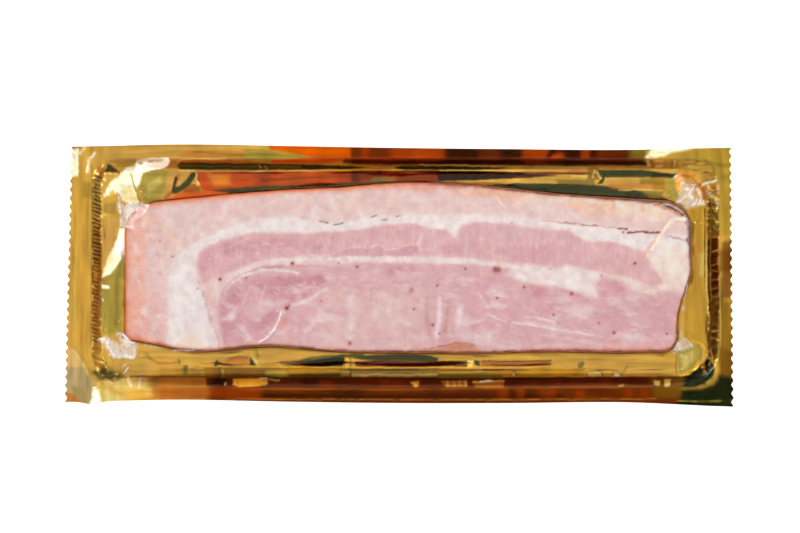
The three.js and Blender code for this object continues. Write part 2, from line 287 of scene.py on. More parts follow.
def pack_ring(long_steps, short_steps):
    """The pack's cut edge, with the serrated knife's teeth on both ends."""
    ring = rounded_ring(PACK_OUTLINE, long_steps, short_steps)
    at_end = abs(ring[:, 0]) > PACK_LENGTH / 2 - 0.01
    pitch = PACK_WIDTH / TEETH
    notch = 0.5 - 0.5 * np.cos(ring[:, 1] / pitch * 2 * pi)
    share = ring[:, 0] / PACK_LENGTH + 0.5
    rind_side = ring[:, 1] > 0
    trim = np.where(rind_side, along(RIND_SIDE_TRIM, share), along(BELLY_SIDE_TRIM, share))
    ring[:, 0] -= np.sign(ring[:, 0]) * at_end * TOOTH_DEPTH * notch
    ring = leaned(ring)
    ring[:, 1] *= 1 - np.maximum(trim, 0) / (PACK_WIDTH / 2)
    droop = CORNER_DROOP * np.exp(-(((ring[:, 0] - CORNER_DROOP_X) / CORNER_DROOP_HALF) ** 2))
    ring[:, 1] -= droop * (ring[:, 1] < 0)
    return ring


def slab_ring(grow, long_steps, short_steps):
    """The slab's outline: long edges bowed, and the right end cut back over its belly half."""
    left, right, bottom, top, _ = SLAB
    ring = rounded_ring(SLAB, long_steps, short_steps, grow)
    x, y = ring.T
    share = (x - left) / (right - left)
    rise = (along(RIND_EDGE, share) - top) * np.clip(y / top, 0, 1)
    fall = (along(BELLY_EDGE, share) - bottom) * np.clip(y / bottom, 0, 1)
    cut = CUT_BACK * (1 - smooth(CUT_TO, CUT_FROM, y)) * np.clip((x - right / 2) / (right / 2), 0, 1)
    return np.stack((x - cut, y + rise + fall), 1)


def ripple(points, size, seed=0):
    """Soft noise from about -1 to 1 at flat points, with bumps of a size in millimetres."""
    return np.array([noise.noise(Vector((x / size, y / size, seed))) for x, y in points[:, :2]])


def grain_in(points, size, seed=0):
    """The same noise all through a solid."""
    return np.array([noise.noise(Vector(place) / size + Vector((0, 0, seed))) for place in points])


def from_photo(places):
    """Places on the pack in millimetres, from their pixels in the photograph."""
    return (np.array(places, float) - PACK_MIDDLE_PX) * (MM_PER_PX, -MM_PER_PX)


def to_line(points, line):
    """How far flat points are from a line through places, all in millimetres."""
    nearest = np.full(len(points), np.inf)
    for a, b in zip(line, line[1:]):
        share = np.clip((points[:, :2] - a) @ (b - a) / max((b - a) @ (b - a), 1e-9), 0, 1)
        nearest = np.minimum(nearest, np.hypot(*(points[:, :2] - a - share[:, None] * (b - a)).T))
    return nearest


def inside(points, outline):
    """How far flat points are into an outline, in millimetres, and negative outside it."""
    closed = np.vstack((outline, outline[:1]))
    within = np.zeros(len(points), bool)
    for (ax, ay), (bx, by) in zip(closed, closed[1:]):
        if ay != by:
            crossing = ax + (points[:, 1] - ay) * (bx - ax) / (by - ay)
            within ^= ((points[:, 1] > ay) != (points[:, 1] > by)) & (points[:, 0] < crossing)
    return to_line(points, closed) * np.where(within, 1, -1)


def area(shade, strength, softness, *places):
    """A coat over an outline, given by places in photo pixels, with an edge of some pixels."""
    return "area", shade, strength, softness, 0, places


def block(shade, strength, softness, left, top, right, bottom):
    """A coat over an upright rectangle, given by its sides in photo pixels."""
    return area(shade, strength, softness, (left, top), (right, top), (right, bottom), (left, bottom))


def stroke(shade, strength, softness, half_width, *places):
    """A coat along a line through places, half_width pixels to each side of it."""
    return "stroke", shade, strength, softness, half_width, places


def laid(shades, shade, cover):
    """Colours with one more colour laid over them, as far as the cover says at each point."""
    return shades + (np.array(shade)[..., :3] - shades) * cover[:, None]


def painted(points, ground, coats, wander=0.25):
    """Colours at flat points: coats of paint laid over a ground colour, in order.

    The edges of the coats wander by some millimetres, so that none looks drawn."""
    moved = points[:, :2].copy()
    for axis in (0, 1):
        for size, share in ((0.7, 0.8), (1.6, 1), (5, 1)):
            moved[:, axis] += wander * share * ripple(points, size, 3 * size + axis)
    shades = np.tile(np.array(ground[:3], float), (len(points), 1))
    for kind, shade, strength, softness, half_width, places in coats:
        corners = from_photo(places)
        margin = (softness + half_width) * MM_PER_PX
        low, high = corners.min(0) - margin, corners.max(0) + margin
        near = np.flatnonzero(((moved > low) & (moved < high)).all(1))
        if kind == "area":
            depth = inside(moved[near], corners)
        else:
            depth = half_width * MM_PER_PX - to_line(moved[near], corners)
        soft = softness * MM_PER_PX
        shades[near] = laid(shades[near], shade, strength * smooth(-soft / 2, soft / 2, depth))
    return shades


# The relief of the film, as heights in millimetres: gathered folds on the short walls, long waves on
# each level, finer ones in the trough, a bead along the left end and a lip where the trough begins
PUCKER = 0.39
TROUGH_WAVE, FLANGE_WAVE, WALL_WAVE = 0.25, 0.12, 0.18
FINE_WAVE = 0.16
BEAD, BEAD_X, BEAD_HALF = 0.22, -113.7, 0.7
LIP, LIP_STEP, LIP_HALF = 0.18, 2.03, 0.06
DENTS = (
    # centre and half sizes in photo pixels, depth in millimetres
    (172, 361, 34, 6, 0.25), (236, 361, 24, 5, 0.25), (310, 360, 34, 6, 0.3), (408, 360, 60, 6, 0.35),
    (515, 362, 40, 4, 0.2), (250, 178, 60, 6, 0.25), (360, 177, 50, 5, 0.2), (470, 176, 60, 4, 0.2),
    (560, 178, 46, 5, 0.25), (640, 183, 26, 8, 0.25),
)
# The bottom left corner is bent down beyond a crease, through a place, square to an angle
CREASE_X, CREASE_Y, CREASE_ANGLE, CREASE_SLOPE = -117, -26.8, 226, 0.24


def across_rings(steps, long_steps, short_steps):
    """Rings from the pack's edge, 0, over the shoulder, 1, and the trough, 2, to the foot, 3."""
    edge = pack_ring(long_steps, short_steps)
    shoulder = rounded_ring(SHOULDER, long_steps, short_steps)
    trough = rounded_ring(TROUGH, long_steps, short_steps)
    out = np.interp(FOOT_HEIGHT, SIDE_HEIGHTS, SIDE_OUT) + FOOT_REACH
    stages = (edge, shoulder, trough, slab_ring(out, long_steps, short_steps))
    rings = []
    for step in steps:
        stage = min(int(step), 2)
        flat = stages[stage] * (stage + 1 - step) + stages[stage + 1] * (step - stage)
        rings.append(level_ring(flat, film_height(step, flat)))
    return rings


def film_height(step, flat):
    """The tray's height at flat points on one ring, with all its relief."""
    x, y = flat.T
    height = np.full(len(flat), float(along(ACROSS_HEIGHTS, np.array([step / 3]))[0]))
    short_side = smooth(98, 104, abs(x))
    on_flange = 1 - smooth(0.7, 1, step)
    on_wall = smooth(1, 1.25, step) * (1 - smooth(1.75, 2.1, step))
    in_trough = smooth(1.9, 2.2, step) * (1 - smooth(2.7, 3, step))
    angle = radians(CREASE_ANGLE)
    beyond = (x - CREASE_X) * cos(angle) + (y - CREASE_Y) * sin(angle)
    height -= CREASE_SLOPE * np.maximum(0, beyond) * (1 - smooth(1, 1.6, step))
    height += BEAD * on_flange * np.exp(-((x - BEAD_X) / BEAD_HALF) ** 2)
    folds = ripple(np.stack((x * 0.35, y), 1), 1.15, 11) + 0.6 * ripple(flat, 2.6, 12)
    height += PUCKER * short_side * on_wall * folds
    long_waves = ripple(np.stack((x, y * 2.5), 1), 26, 13)
    height += (TROUGH_WAVE * in_trough + FLANGE_WAVE * on_flange + WALL_WAVE * on_wall) * long_waves
    height += FINE_WAVE * (in_trough + 0.4 * on_wall) * ripple(np.stack((x, y * 2), 1), 8, 14)
    for px, py, half_long, half_short, depth in DENTS:
        cx, cy = from_photo((px, py))
        far = np.hypot((x - cx) / (half_long * MM_PER_PX), (y - cy) / (half_short * MM_PER_PX))
        height -= depth * (in_trough + 0.3 * on_wall) * smooth(1.3, 0.5, far)
    return height + LIP * np.exp(-((step - LIP_STEP) / LIP_HALF) ** 2)


def mesh_object(name, form, body="root"):
    """A finished piece from a bmesh in millimetres, at the origin and riding on the pack."""
    bmesh.ops.scale(form, vec=(MM, MM, MM), verts=form.verts)
    mesh = bpy.data.meshes.new(name)
    form.to_mesh(mesh)
    form.free()
    mesh.shade_smooth()
    piece = bpy.data.objects.new(name, mesh)
    bpy.context.scene.collection.objects.link(piece)
    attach(piece, body)
    return piece


def loop_edges(form, rim):
    """The edges that join a loop of vertices, in order."""
    return [form.edges.get(pair) for pair in zip(rim, rim[1:] + rim[:1])]


def extrude_rings(form, rim, rings):
    """Extrudes a loop of rim vertices once for each ring, and moves each new loop to its ring."""
    for ring in rings:
        grown = bmesh.ops.extrude_edge_only(form, edges=loop_edges(form, rim))["geom"]
        fresh = {part for part in grown if isinstance(part, bmesh.types.BMVert)}
        rim = [next(v for e in old.link_edges for v in e.verts if v in fresh) for old in rim]
        for vertex, place in zip(rim, ring):
            vertex.co = place
    return rim


def level_ring(flat, z):
    """A flat ring at one height, or at a height for each of its points."""
    return np.column_stack((flat, np.broadcast_to(z, len(flat))))


def paint_mesh(mesh, shades):
    """Keeps one colour for each vertex, as an attribute that the material reads."""
    attribute = mesh.color_attributes.new("paint", "FLOAT_COLOR", "POINT")
    solid = np.column_stack((shades, np.ones(len(shades)))).astype(np.float32)
    attribute.data.foreach_set("color", solid.ravel())


def mask_mesh(mesh, name, values):
    """Keeps one value for each vertex in the same way."""
    attribute = mesh.attributes.new(name, "FLOAT", "POINT")
    attribute.data.foreach_set("value", np.asarray(values, np.float32))


def kept(tree, name, output="Fac"):
    """What the mesh keeps under a name, in a material."""
    return node(tree, "ShaderNodeAttribute", attribute_name=name).outputs[output]


def vertex_places(mesh):
    """The mesh's vertices in millimetres."""
    places = np.zeros(len(mesh.vertices) * 3, np.float32)
    mesh.vertices.foreach_get("co", places)
    return places.reshape(-1, 3).astype(float) / MM


TRAY_STEPS = [*np.linspace(0, 0.94, 14), *np.linspace(1, 2, 15), *np.linspace(2.05, 3, 22)]
# The pocket below the foot: heights, and how far it stands off the slab
POCKET = ((9.8, 0.5), (7.4, 0.5), (5, 0.45), (3, 0.35), (1.6, 0.2), (0.8, -0.5), (0.5, -1.8))

outer = across_rings(TRAY_STEPS, LONG_STEPS, SHORT_STEPS)
pocket = []
for z, stand_off in POCKET:
    out = np.interp(max(z, SLAB_BASE), SIDE_HEIGHTS, SIDE_OUT) + stand_off
    flat = slab_ring(out, LONG_STEPS, SHORT_STEPS)
    pocket.append(level_ring(flat, z))

form = bmesh.new()
bmesh.ops.create_circle(form, cap_ends=True, segments=2 * (LONG_STEPS + SHORT_STEPS), radius=1)
form.verts.ensure_lookup_table()
rim = list(form.verts)
for vertex, place in zip(rim, pocket[-1]):
    vertex.co = place
extrude_rings(form, rim, list(reversed(outer + pocket[:-1])))
bmesh.ops.recalc_face_normals(form, faces=form.faces)
tray = mesh_object("formed_tray", form)

# Over the gold ground, the tray's colours are painted reflections and highlights: the orange, brown,
# olive and dark green ones stand for darker things that the film mirrors, and the pale golds for the
# tent's light and the lamps.
GOLD = colour(194, 151, 66)
TAN_GOLD = colour(190, 146, 74)
RICH_GOLD = colour(218, 168, 36)
LIGHT_GOLD = colour(240, 204, 112)
PALE_GOLD = colour(255, 252, 226)
SAND = colour(212, 192, 116)
OLIVE_GOLD = colour(160, 140, 58)
OLIVE = colour(122, 104, 40)
DARK_GREEN = colour(54, 58, 26)
BLACK_GREEN = colour(28, 34, 15)
AMBER = colour(240, 168, 50)
ORANGE = colour(202, 86, 4)
DEEP_RED_ORANGE = colour(152, 58, 5)
TAN = colour(182, 112, 42)
BROWN = colour(92, 38, 6)
DARK_BROWN = colour(44, 19, 4)
DEEP_GOLD = colour(172, 122, 16)
DARK_GOLD = colour(134, 90, 10)
UMBER = colour(112, 76, 16)
GREY_TAN = colour(172, 150, 108)
# Painted highlights, where the film mirrors a lamp: brighter than any paint
GLARE = (1.7, 1.6, 1.25, 1)
COLD_GLARE = (2.1, 2.3, 2, 1)

TOP_FLANGE = (
    # Painted reflections: gold at the left, a wedge of olive, then orange, brown and black, and gold
    # again past a painted hot spot of light
    area(TAN_GOLD, 0.9, 8, (84, 140), (262, 140), (256, 160), (100, 160)),
    area(TAN, 0.7, 3, (177, 157), (186, 151), (215, 150.6), (262, 153), (262, 158), (200, 158)),
    stroke(OLIVE, 0.8, 2, 0.7, (194, 151.5), (215, 153.6), (250, 155.6), (292, 158)),
    area(ORANGE, 1, 4, (268, 140), (356, 140), (356, 160), (330, 163), (272, 163)),
    area(OLIVE_GOLD, 0.95, 2, (244, 148), (274, 150), (312, 156.6), (300, 158.4), (262, 160.6),
        (244, 162)),
    stroke(OLIVE, 0.6, 2, 0.6, (250, 153), (280, 155)),
    area(BROWN, 1, 6, (352, 140), (650, 140), (644, 164), (352, 164)),
    block(DEEP_RED_ORANGE, 1, 5, 352, 140, 446, 164),
    block(BROWN, 0.8, 6, 352, 146, 362, 158),
    block(BROWN, 0.75, 7, 369, 146, 391, 158),
    block(DARK_BROWN, 0.9, 14, 443, 140, 480, 164),
    block(BROWN, 0.9, 8, 480, 140, 502, 164),
    block(DARK_BROWN, 0.9, 10, 500, 140, 524, 164),
    area(DEEP_RED_ORANGE, 0.8, 9, (523, 140), (549, 140), (547, 164), (523, 164)),
    area(DARK_BROWN, 0.9, 3, (545, 160), (552, 148), (557, 148), (551, 160)),
    area(DEEP_RED_ORANGE, 1, 2.4, (549, 158.5), (553, 154), (563, 153), (566, 158.5)),
    block(DARK_BROWN, 0.9, 8, 564, 140, 584, 164),
    block(DEEP_RED_ORANGE, 0.7, 5, 581, 140, 590, 159),
    block(DARK_BROWN, 0.8, 5, 590, 140, 598, 159),
    block(BROWN, 1, 5, 597, 140, 640, 164),
    block(OLIVE, 0.8, 8, 630, 140, 650, 160),
    stroke(DARK_BROWN, 0.85, 2, 2, (345, 161.4), (420, 162.4), (560, 163.4), (646, 163.4)),
    stroke(DEEP_RED_ORANGE, 0.7, 2, 0.9, (526, 163), (545, 163.4)),
    stroke(DEEP_RED_ORANGE, 0.8, 1.6, 0.5, (300, 157.6), (420, 158.8), (560, 159.4), (645, 159.4)),
    area(colour(170, 138, 52), 0.9, 6, (660, 159), (700, 149), (740, 140), (740, 236), (721, 236),
        (716, 176), (700, 160)),
    area(PALE_GOLD, 1, 4, (646, 158), (650, 151), (660, 147), (680, 143), (696, 143), (690, 149),
        (672, 152.4), (664, 156), (656, 158)),
    stroke(RICH_GOLD, 0.7, 2, 0.8, (646, 152), (652, 158), (664, 158)),
    stroke(OLIVE, 0.9, 1.6, 0.8, (704, 160.4), (709, 162), (713, 167), (714.6, 174)),
    stroke(OLIVE, 0.6, 1.4, 0.5, (707, 159.6), (713, 163), (717, 170), (717.4, 178)),
    area(OLIVE, 0.6, 4, (713, 162), (729, 164), (731, 167.4), (716, 167.4)),
    area(OLIVE, 0.5, 5, (720, 174), (732, 175), (732, 181), (720, 180)),
    stroke(LIGHT_GOLD, 1, 1.4, 0.9, (647.4, 161), (649.4, 166)),
    stroke(DARK_BROWN, 0.8, 1.4, 0.7, (651.4, 161), (653.6, 167)),
    area(LIGHT_GOLD, 0.9, 1.4, (655, 167.4), (657, 164.6), (663.4, 164.6), (662.4, 167.4)),
    stroke(LIGHT_GOLD, 0.9, 1.4, 0.6, (656, 161.2), (663, 161)),
    stroke(DARK_GREEN, 0.8, 1.2, 0.5, (672.4, 161), (672.4, 168)),
    stroke(LIGHT_GOLD, 1, 1.2, 0.6, (674.6, 160.4), (674.6, 166)),
    stroke(LIGHT_GOLD, 0.8, 1.2, 0.6, (680.6, 161), (680.6, 165)),
)
TOP_GROOVE = (
    # Painted reflections in the long groove: a dark green bar in a bright outline, broken once, then a
    # fork of gold
    area(TAN, 0.9, 2, (178, 163.4), (184, 159.8), (220, 159.4), (262, 162), (262, 164), (181, 164)),
    stroke(LIGHT_GOLD, 0.9, 1.2, 0.4, (177.4, 162.4), (182, 159.6), (196, 158.6), (226, 159)),
    area(DARK_GREEN, 1, 1.4, (177, 166), (180, 162.6), (250, 163.4), (318, 164.6), (352, 166),
        (370, 167.2), (352, 169), (318, 169.8), (250, 170.4), (180, 169.6)),
    stroke(OLIVE, 0.6, 1.6, 1.2, (177, 165.6), (250, 166), (300, 166.6)),
    stroke(SAND, 0.7, 1.2, 0.5, (259, 164.5), (261, 168)),
    stroke(SAND, 0.7, 1.2, 0.5, (264.6, 166), (266.6, 168.6)),
    stroke(LIGHT_GOLD, 0.8, 1.2, 0.4, (179, 170.8), (212, 171.2), (250, 171.8), (318, 170.6)),
    stroke(RICH_GOLD, 0.9, 1.4, 0.8, (318, 164.2), (352, 165), (372, 166), (379, 167.2), (370, 168.6),
        (350, 169.8), (318, 170.6)),
    area(DEEP_RED_ORANGE, 1, 3, (196, 172.6), (250, 172.4), (330, 171.4), (372, 170), (392, 171), (440, 171),
        (440, 183), (400, 184), (370, 184), (318, 187), (262, 190), (206, 192), (198, 186)),
    area(colour(178, 70, 4), 1, 4, (195, 171), (246, 171), (258, 180), (246, 192), (206, 193),
        (197, 186)),
    area(AMBER, 0.4, 7, (208, 174), (230, 173.4), (230, 184), (214, 186)),
    area(ORANGE, 0.35, 8, (268, 170), (336, 170), (336, 184), (268, 187)),
    stroke(BROWN, 0.5, 3, 1.4, (262, 180), (300, 178), (350, 176)),
    block(DARK_BROWN, 0.8, 5, 351, 171.4, 360, 182),
    block(BROWN, 0.8, 7, 360, 171, 382, 181),
    block(OLIVE, 0.7, 4, 372, 177, 396, 183),
    block(BROWN, 0.5, 6, 396, 170, 440, 183),
    stroke(RICH_GOLD, 0.9, 1.4, 0.7, (402, 165.2), (393, 166.4), (391, 167.4), (393.4, 169), (402, 170)),
    area(DARK_GREEN, 1, 1.4, (394, 167.4), (400, 165.8), (440, 165.8), (480, 166.4), (500, 167.6),
        (513, 168.6), (480, 169.4), (440, 169.8), (400, 169.6)),
    area(GOLD, 1, 1.6, (480, 169.8), (512, 168.6), (496, 165.6), (600, 167), (596, 178), (560, 178.8),
        (536, 181.6), (490, 184.4), (404, 184.4), (440, 181)),
    stroke(LIGHT_GOLD, 0.9, 1.2, 0.5, (420, 165), (460, 165.2), (500, 166), (590, 167.6)),
    stroke(LIGHT_GOLD, 0.8, 1.2, 0.45, (440, 170.4), (480, 170.2), (505, 170.8), (540, 173)),
    area(DARK_BROWN, 1, 1.8, (438, 171.4), (480, 171), (520, 172.8), (545, 174.4), (557, 175.4),
        (545, 176.6), (515, 178.4), (480, 180), (438, 181.6)),
    area(BROWN, 0.7, 3, (514, 173), (530, 173.6), (556, 175.4), (530, 177.4), (514, 178)),
    area(TAN, 0.8, 1.6, (566, 171), (572, 169), (588, 169.6), (590, 172), (580, 173.4), (568, 172.6)),
    stroke(LIGHT_GOLD, 0.6, 1.4, 0.8, (572, 175.6), (592, 176)),
    area(OLIVE, 0.85, 3, (556, 179.4), (594, 179), (596, 186), (560, 185)),
    area(DARK_GREEN, 1, 1.6, (486, 185), (520, 183), (560, 183.4), (600, 185.4), (640, 191), (668, 198),
        (668, 206), (560, 196), (500, 188)),
    area(DARK_GREEN, 1, 1.6, (206, 190.4), (228, 188.6), (250, 186.8), (326, 184), (391, 180.8),
        (408, 182), (391, 185), (326, 190), (250, 195), (222, 195)),
    stroke(OLIVE, 0.6, 1.2, 0.5, (262, 189), (330, 186), (380, 182.8)),
    # Painted reflections of the fold at the groove's right end, and the bars past it
    area(colour(122, 92, 26), 0.9, 2.4, (588, 168.4), (596, 167.8), (605, 171), (604, 180), (588, 180)),
    area(DARK_GREEN, 1, 1.6, (597, 169.8), (640, 169.4), (676, 173.6), (678, 177.6), (640, 177),
        (606, 177.2), (603, 184), (598, 184), (602, 178)),
    area(BLACK_GREEN, 0.8, 3, (652, 172), (678, 174), (678, 177.6), (652, 177)),
    stroke(LIGHT_GOLD, 0.8, 1.2, 0.45, (601.6, 178.6), (594.4, 169.6), (593, 178)),
    area(TAN_GOLD, 0.9, 2, (606, 178.6), (638, 178.6), (640, 183), (606, 183.4)),
    area(OLIVE, 0.8, 3, (640, 178), (668, 179), (668, 184), (640, 184)),
    area(TAN, 0.7, 3, (608, 184), (654, 184.6), (654, 189.6), (612, 189)),
    area(colour(150, 106, 22), 0.9, 3, (650, 178), (676, 178.6), (677, 190), (654, 190)),
    stroke(SAND, 0.9, 1.3, 0.5, (619, 190.2), (640, 189.6), (662, 190)),
    area(OLIVE, 0.8, 3, (640, 191), (664, 191.6), (662, 198), (652, 198.4)),
)
TOP_LEFT = (
    # Painted reflections: both sides of the corner mirror the tent's brightest part, round a smooth olive
    # slope, with a painted glare
    area(TAN_GOLD, 0.9, 4, (164, 172), (196, 172), (194, 182), (180, 192), (164, 203), (158, 190)),
    area(ORANGE, 1, 2.4, (160, 206), (176, 194), (192, 190.4), (210, 190.4), (228, 192.6), (224, 199),
        (190, 204), (170, 208)),
    area(colour(150, 74, 10), 0.9, 2, (182, 187), (192, 183.6), (199, 185), (200, 190.6), (184, 193)),
    stroke(colour(156, 80, 18), 0.9, 3, 2, (166, 197), (172, 192), (182, 190)),
    stroke(TAN, 0.8, 3, 2, (178, 175), (175, 184)),
    stroke(DARK_BROWN, 1, 2, 1.5, (176, 178), (174.6, 184), (173, 191)),
    stroke(DARK_GREEN, 1, 2, 2.8, (192.6, 175), (188, 182), (182, 187), (175, 190.6)),
    stroke(LIGHT_GOLD, 1, 1.3, 0.6, (196.4, 173.6), (195.4, 178), (198, 183)),
    area(LIGHT_GOLD, 0.6, 1.6, (195, 182.6), (199, 182), (200, 185.6), (196, 186)),
    area(OLIVE_GOLD, 1, 2.4, (138, 184), (143, 173), (160, 170), (168, 172), (164, 188), (158, 206),
        (145, 207)),
    area(SAND, 0.5, 4, (146, 184), (160, 176), (162, 182), (148, 194)),
    area(PALE_GOLD, 1, 1.8, (102.6, 197), (106, 190), (111, 182), (119, 176), (122, 171), (127, 167),
        (134, 165.5), (137, 160), (150, 158.5), (168, 158), (170, 161), (168, 166), (160, 168.5),
        (149, 170), (142, 173), (139, 184), (136, 188), (133, 184), (136, 195), (139, 203), (130, 204),
        (122, 200), (119, 192), (112, 194)),
    area(LIGHT_GOLD, 0.6, 2.4, (120, 192), (130, 184), (138, 202), (126, 206)),
    area(COLD_GLARE, 1, 1.8, (137, 162.4), (150, 161), (158, 162.6), (168, 158.4), (170, 161),
        (167, 166), (160, 168.4), (149, 169.4), (141, 171), (134, 172)),
    stroke(OLIVE_GOLD, 0.9, 1.2, 0.8, (130.6, 174), (132, 180), (135, 190), (139, 200), (144, 206)),
    stroke(OLIVE_GOLD, 0.7, 1.2, 0.5, (139, 163), (142, 162)),
    stroke(GOLD, 0.9, 1.2, 1, (138.6, 163), (142, 163)),
    stroke(GOLD, 0.9, 1.2, 1, (148.6, 162), (152, 161.6)),
    area(RICH_GOLD, 0.9, 2, (108, 193), (112, 189), (115, 192), (112, 196)),
    area(OLIVE, 0.5, 3, (103, 204), (116, 202), (116, 214), (104, 214)),
    stroke(LIGHT_GOLD, 0.9, 1.6, 0.8, (98, 218), (106, 214)),
    area(DARK_GREEN, 0.95, 1.6, (104, 172.6), (108, 163), (115, 168), (121, 172.4)),
    area(BROWN, 0.6, 1.8, (113, 168), (122, 172.4), (112, 172.6)),
    area(TAN, 0.6, 2.4, (95, 173), (97, 167), (103, 164.6), (103, 173)),
    stroke(LIGHT_GOLD, 0.9, 1.1, 0.45, (96, 173.6), (120, 173)),
    # A folded strip at the very corner, painted white as a highlight, and a painted pale streak of
    # reflection beside it
    area(PALE_GOLD, 1, 1.4, (68, 152), (79, 148), (78, 176), (68, 176)),
    stroke(OLIVE, 0.7, 1.2, 0.5, (71, 147.8), (79, 147.4)),
    stroke(OLIVE, 0.5, 1.4, 0.7, (73, 155), (74, 158)),
    stroke(PALE_GOLD, 0.9, 1.2, 0.5, (79, 154), (85, 147.4)),
    stroke(PALE_GOLD, 0.9, 1.8, 1, (94.6, 153), (89, 160), (87, 172)),
    block(OLIVE, 0.5, 4, 83, 182, 91, 198),
)
# Painted shade of small folds up the short wall, all leaning one way as in a gathered hem, each with a
# painted glint below it
uneven = random.Random(5)
LEFT_PUCKER_SHADE_AND_GLINTS = []
for y in np.arange(176, 342, 3.9):
    nearest, farthest = 93.6 - (y - 176) * 0.012, 101.8 - (y - 176) * 0.03
    start, end = uneven.uniform(nearest, nearest + 1.6), uneven.uniform(farthest - 2, farthest)
    lean, thick = uneven.uniform(1.6, 2.4), uneven.uniform(0.6, 1.2)
    shade, share = (DARK_GREEN, 1) if y < 262 else (BROWN, 0.5)
    LEFT_PUCKER_SHADE_AND_GLINTS.append(stroke(shade, 0.9, 1.8, share * thick, (start, y), (end, y + lean)))
    LEFT_PUCKER_SHADE_AND_GLINTS.append(stroke(LIGHT_GOLD, 0.7, 1.2, 0.4, (start, y + 2), (end, y + lean + 2)))

LEFT_SIDE = (
    # Painted shade and reflections: a seam of puckers up the short wall, and one long painted white
    # reflection over the trough, with a painted glare
    stroke(SAND, 0.6, 1.4, 0.6, (75.4, 240), (74, 340)),
    stroke(TAN, 0.7, 1.4, 0.5, (83.4, 225), (82, 300), (81, 345)),
    stroke(TAN, 0.8, 1.4, 0.5, (74, 256), (73.6, 280)),
    stroke(OLIVE, 0.9, 1.6, 0.6, (92, 164), (92, 225), (91.6, 290), (90.4, 345)),
    area(colour(158, 115, 50), 0.9, 2, (98, 171), (104, 170), (105, 178), (99, 180)),
    *LEFT_PUCKER_SHADE_AND_GLINTS,
    area(RICH_GOLD, 0.8, 2, (93, 271), (96.6, 271), (96.6, 280), (93, 279)),
    area(TAN_GOLD, 0.8, 5, (102, 224), (117, 222), (112, 246), (102, 262)),
    area(OLIVE_GOLD, 1, 4, (101, 280), (112, 268), (126, 252), (126, 334), (101, 334)),
    stroke(OLIVE, 0.8, 5, 2, (120, 262), (117, 282), (115.6, 326)),
    stroke(GOLD, 0.9, 4, 2, (123.4, 282), (122.6, 330)),
    area(PALE_GOLD, 1, 2, (119.7, 228.6), (131, 228), (129, 249), (119, 262), (110, 274), (101.6, 277.6),
        (103.6, 268), (110, 254), (116, 240)),
    area(GLARE, 0.9, 2, (119.6, 231), (127, 230), (125, 246), (118, 255), (114, 254)),
    area(RICH_GOLD, 0.7, 2, (112.6, 236), (116.6, 229), (118, 231), (114.6, 238)),
    area(LIGHT_GOLD, 0.6, 3, (106, 262), (112, 252), (110, 262), (104, 272)),
    stroke(TAN, 0.8, 2, 1.4, (103, 280.4), (107, 280)),
    stroke(PALE_GOLD, 1, 1.6, 1.5, (102.6, 286.6), (108, 287.4)),
    stroke(PALE_GOLD, 0.8, 1.6, 0.8, (101.8, 299), (102.6, 300.4)),
    stroke(SAND, 0.7, 1.3, 0.5, (100, 288), (99.6, 320)),
)
TOP_RIGHT = (
    # Painted reflections and highlights round the top right corner and its ear
    area(OLIVE_GOLD, 0.9, 3, (664, 178), (678, 178), (682, 204), (668, 200)),
    area(AMBER, 1, 2.4, (674.6, 177), (680, 173), (685, 180), (684, 190), (679, 194), (676, 188)),
    area(TAN, 1, 2, (678, 170.6), (690, 171.6), (700, 178), (690, 178.6), (682, 176)),
    stroke(AMBER, 0.8, 2, 0.9, (680, 172.4), (690, 173.4), (697, 178)),
    area(DEEP_RED_ORANGE, 0.7, 2.4, (693, 180), (700, 183), (707, 192), (707, 200), (700, 198), (696, 190)),
    area(AMBER, 0.6, 2.4, (697, 186), (702, 190), (704, 198), (700, 196)),
    stroke(PALE_GOLD, 1, 1.3, 0.7, (703.4, 184.4), (710, 182.6), (716.4, 180.4)),
    area(TAN, 0.8, 1.8, (704, 186), (716, 186), (719, 192), (712, 193), (706, 191)),
    stroke(LIGHT_GOLD, 0.9, 1.2, 0.6, (708, 187.4), (714, 190.4)),
    stroke(BROWN, 0.6, 1.4, 0.8, (709, 194), (714, 193.4)),
    stroke(LIGHT_GOLD, 0.9, 1.3, 0.8, (711, 195.6), (717, 197), (716, 202)),
    area(OLIVE, 0.8, 2, (711, 202), (718.6, 204), (718.6, 236), (710.6, 236)),
    stroke(LIGHT_GOLD, 0.8, 1.2, 0.6, (712.6, 208), (716, 212), (717.6, 206)),
    stroke(SAND, 0.8, 1.2, 0.5, (713, 216), (716.4, 222)),
    stroke(SAND, 0.8, 1.2, 0.5, (713, 226), (717, 231)),
    stroke(DARK_GREEN, 0.9, 1.6, 1.4, (709.4, 203), (709, 218), (708, 230)),
)
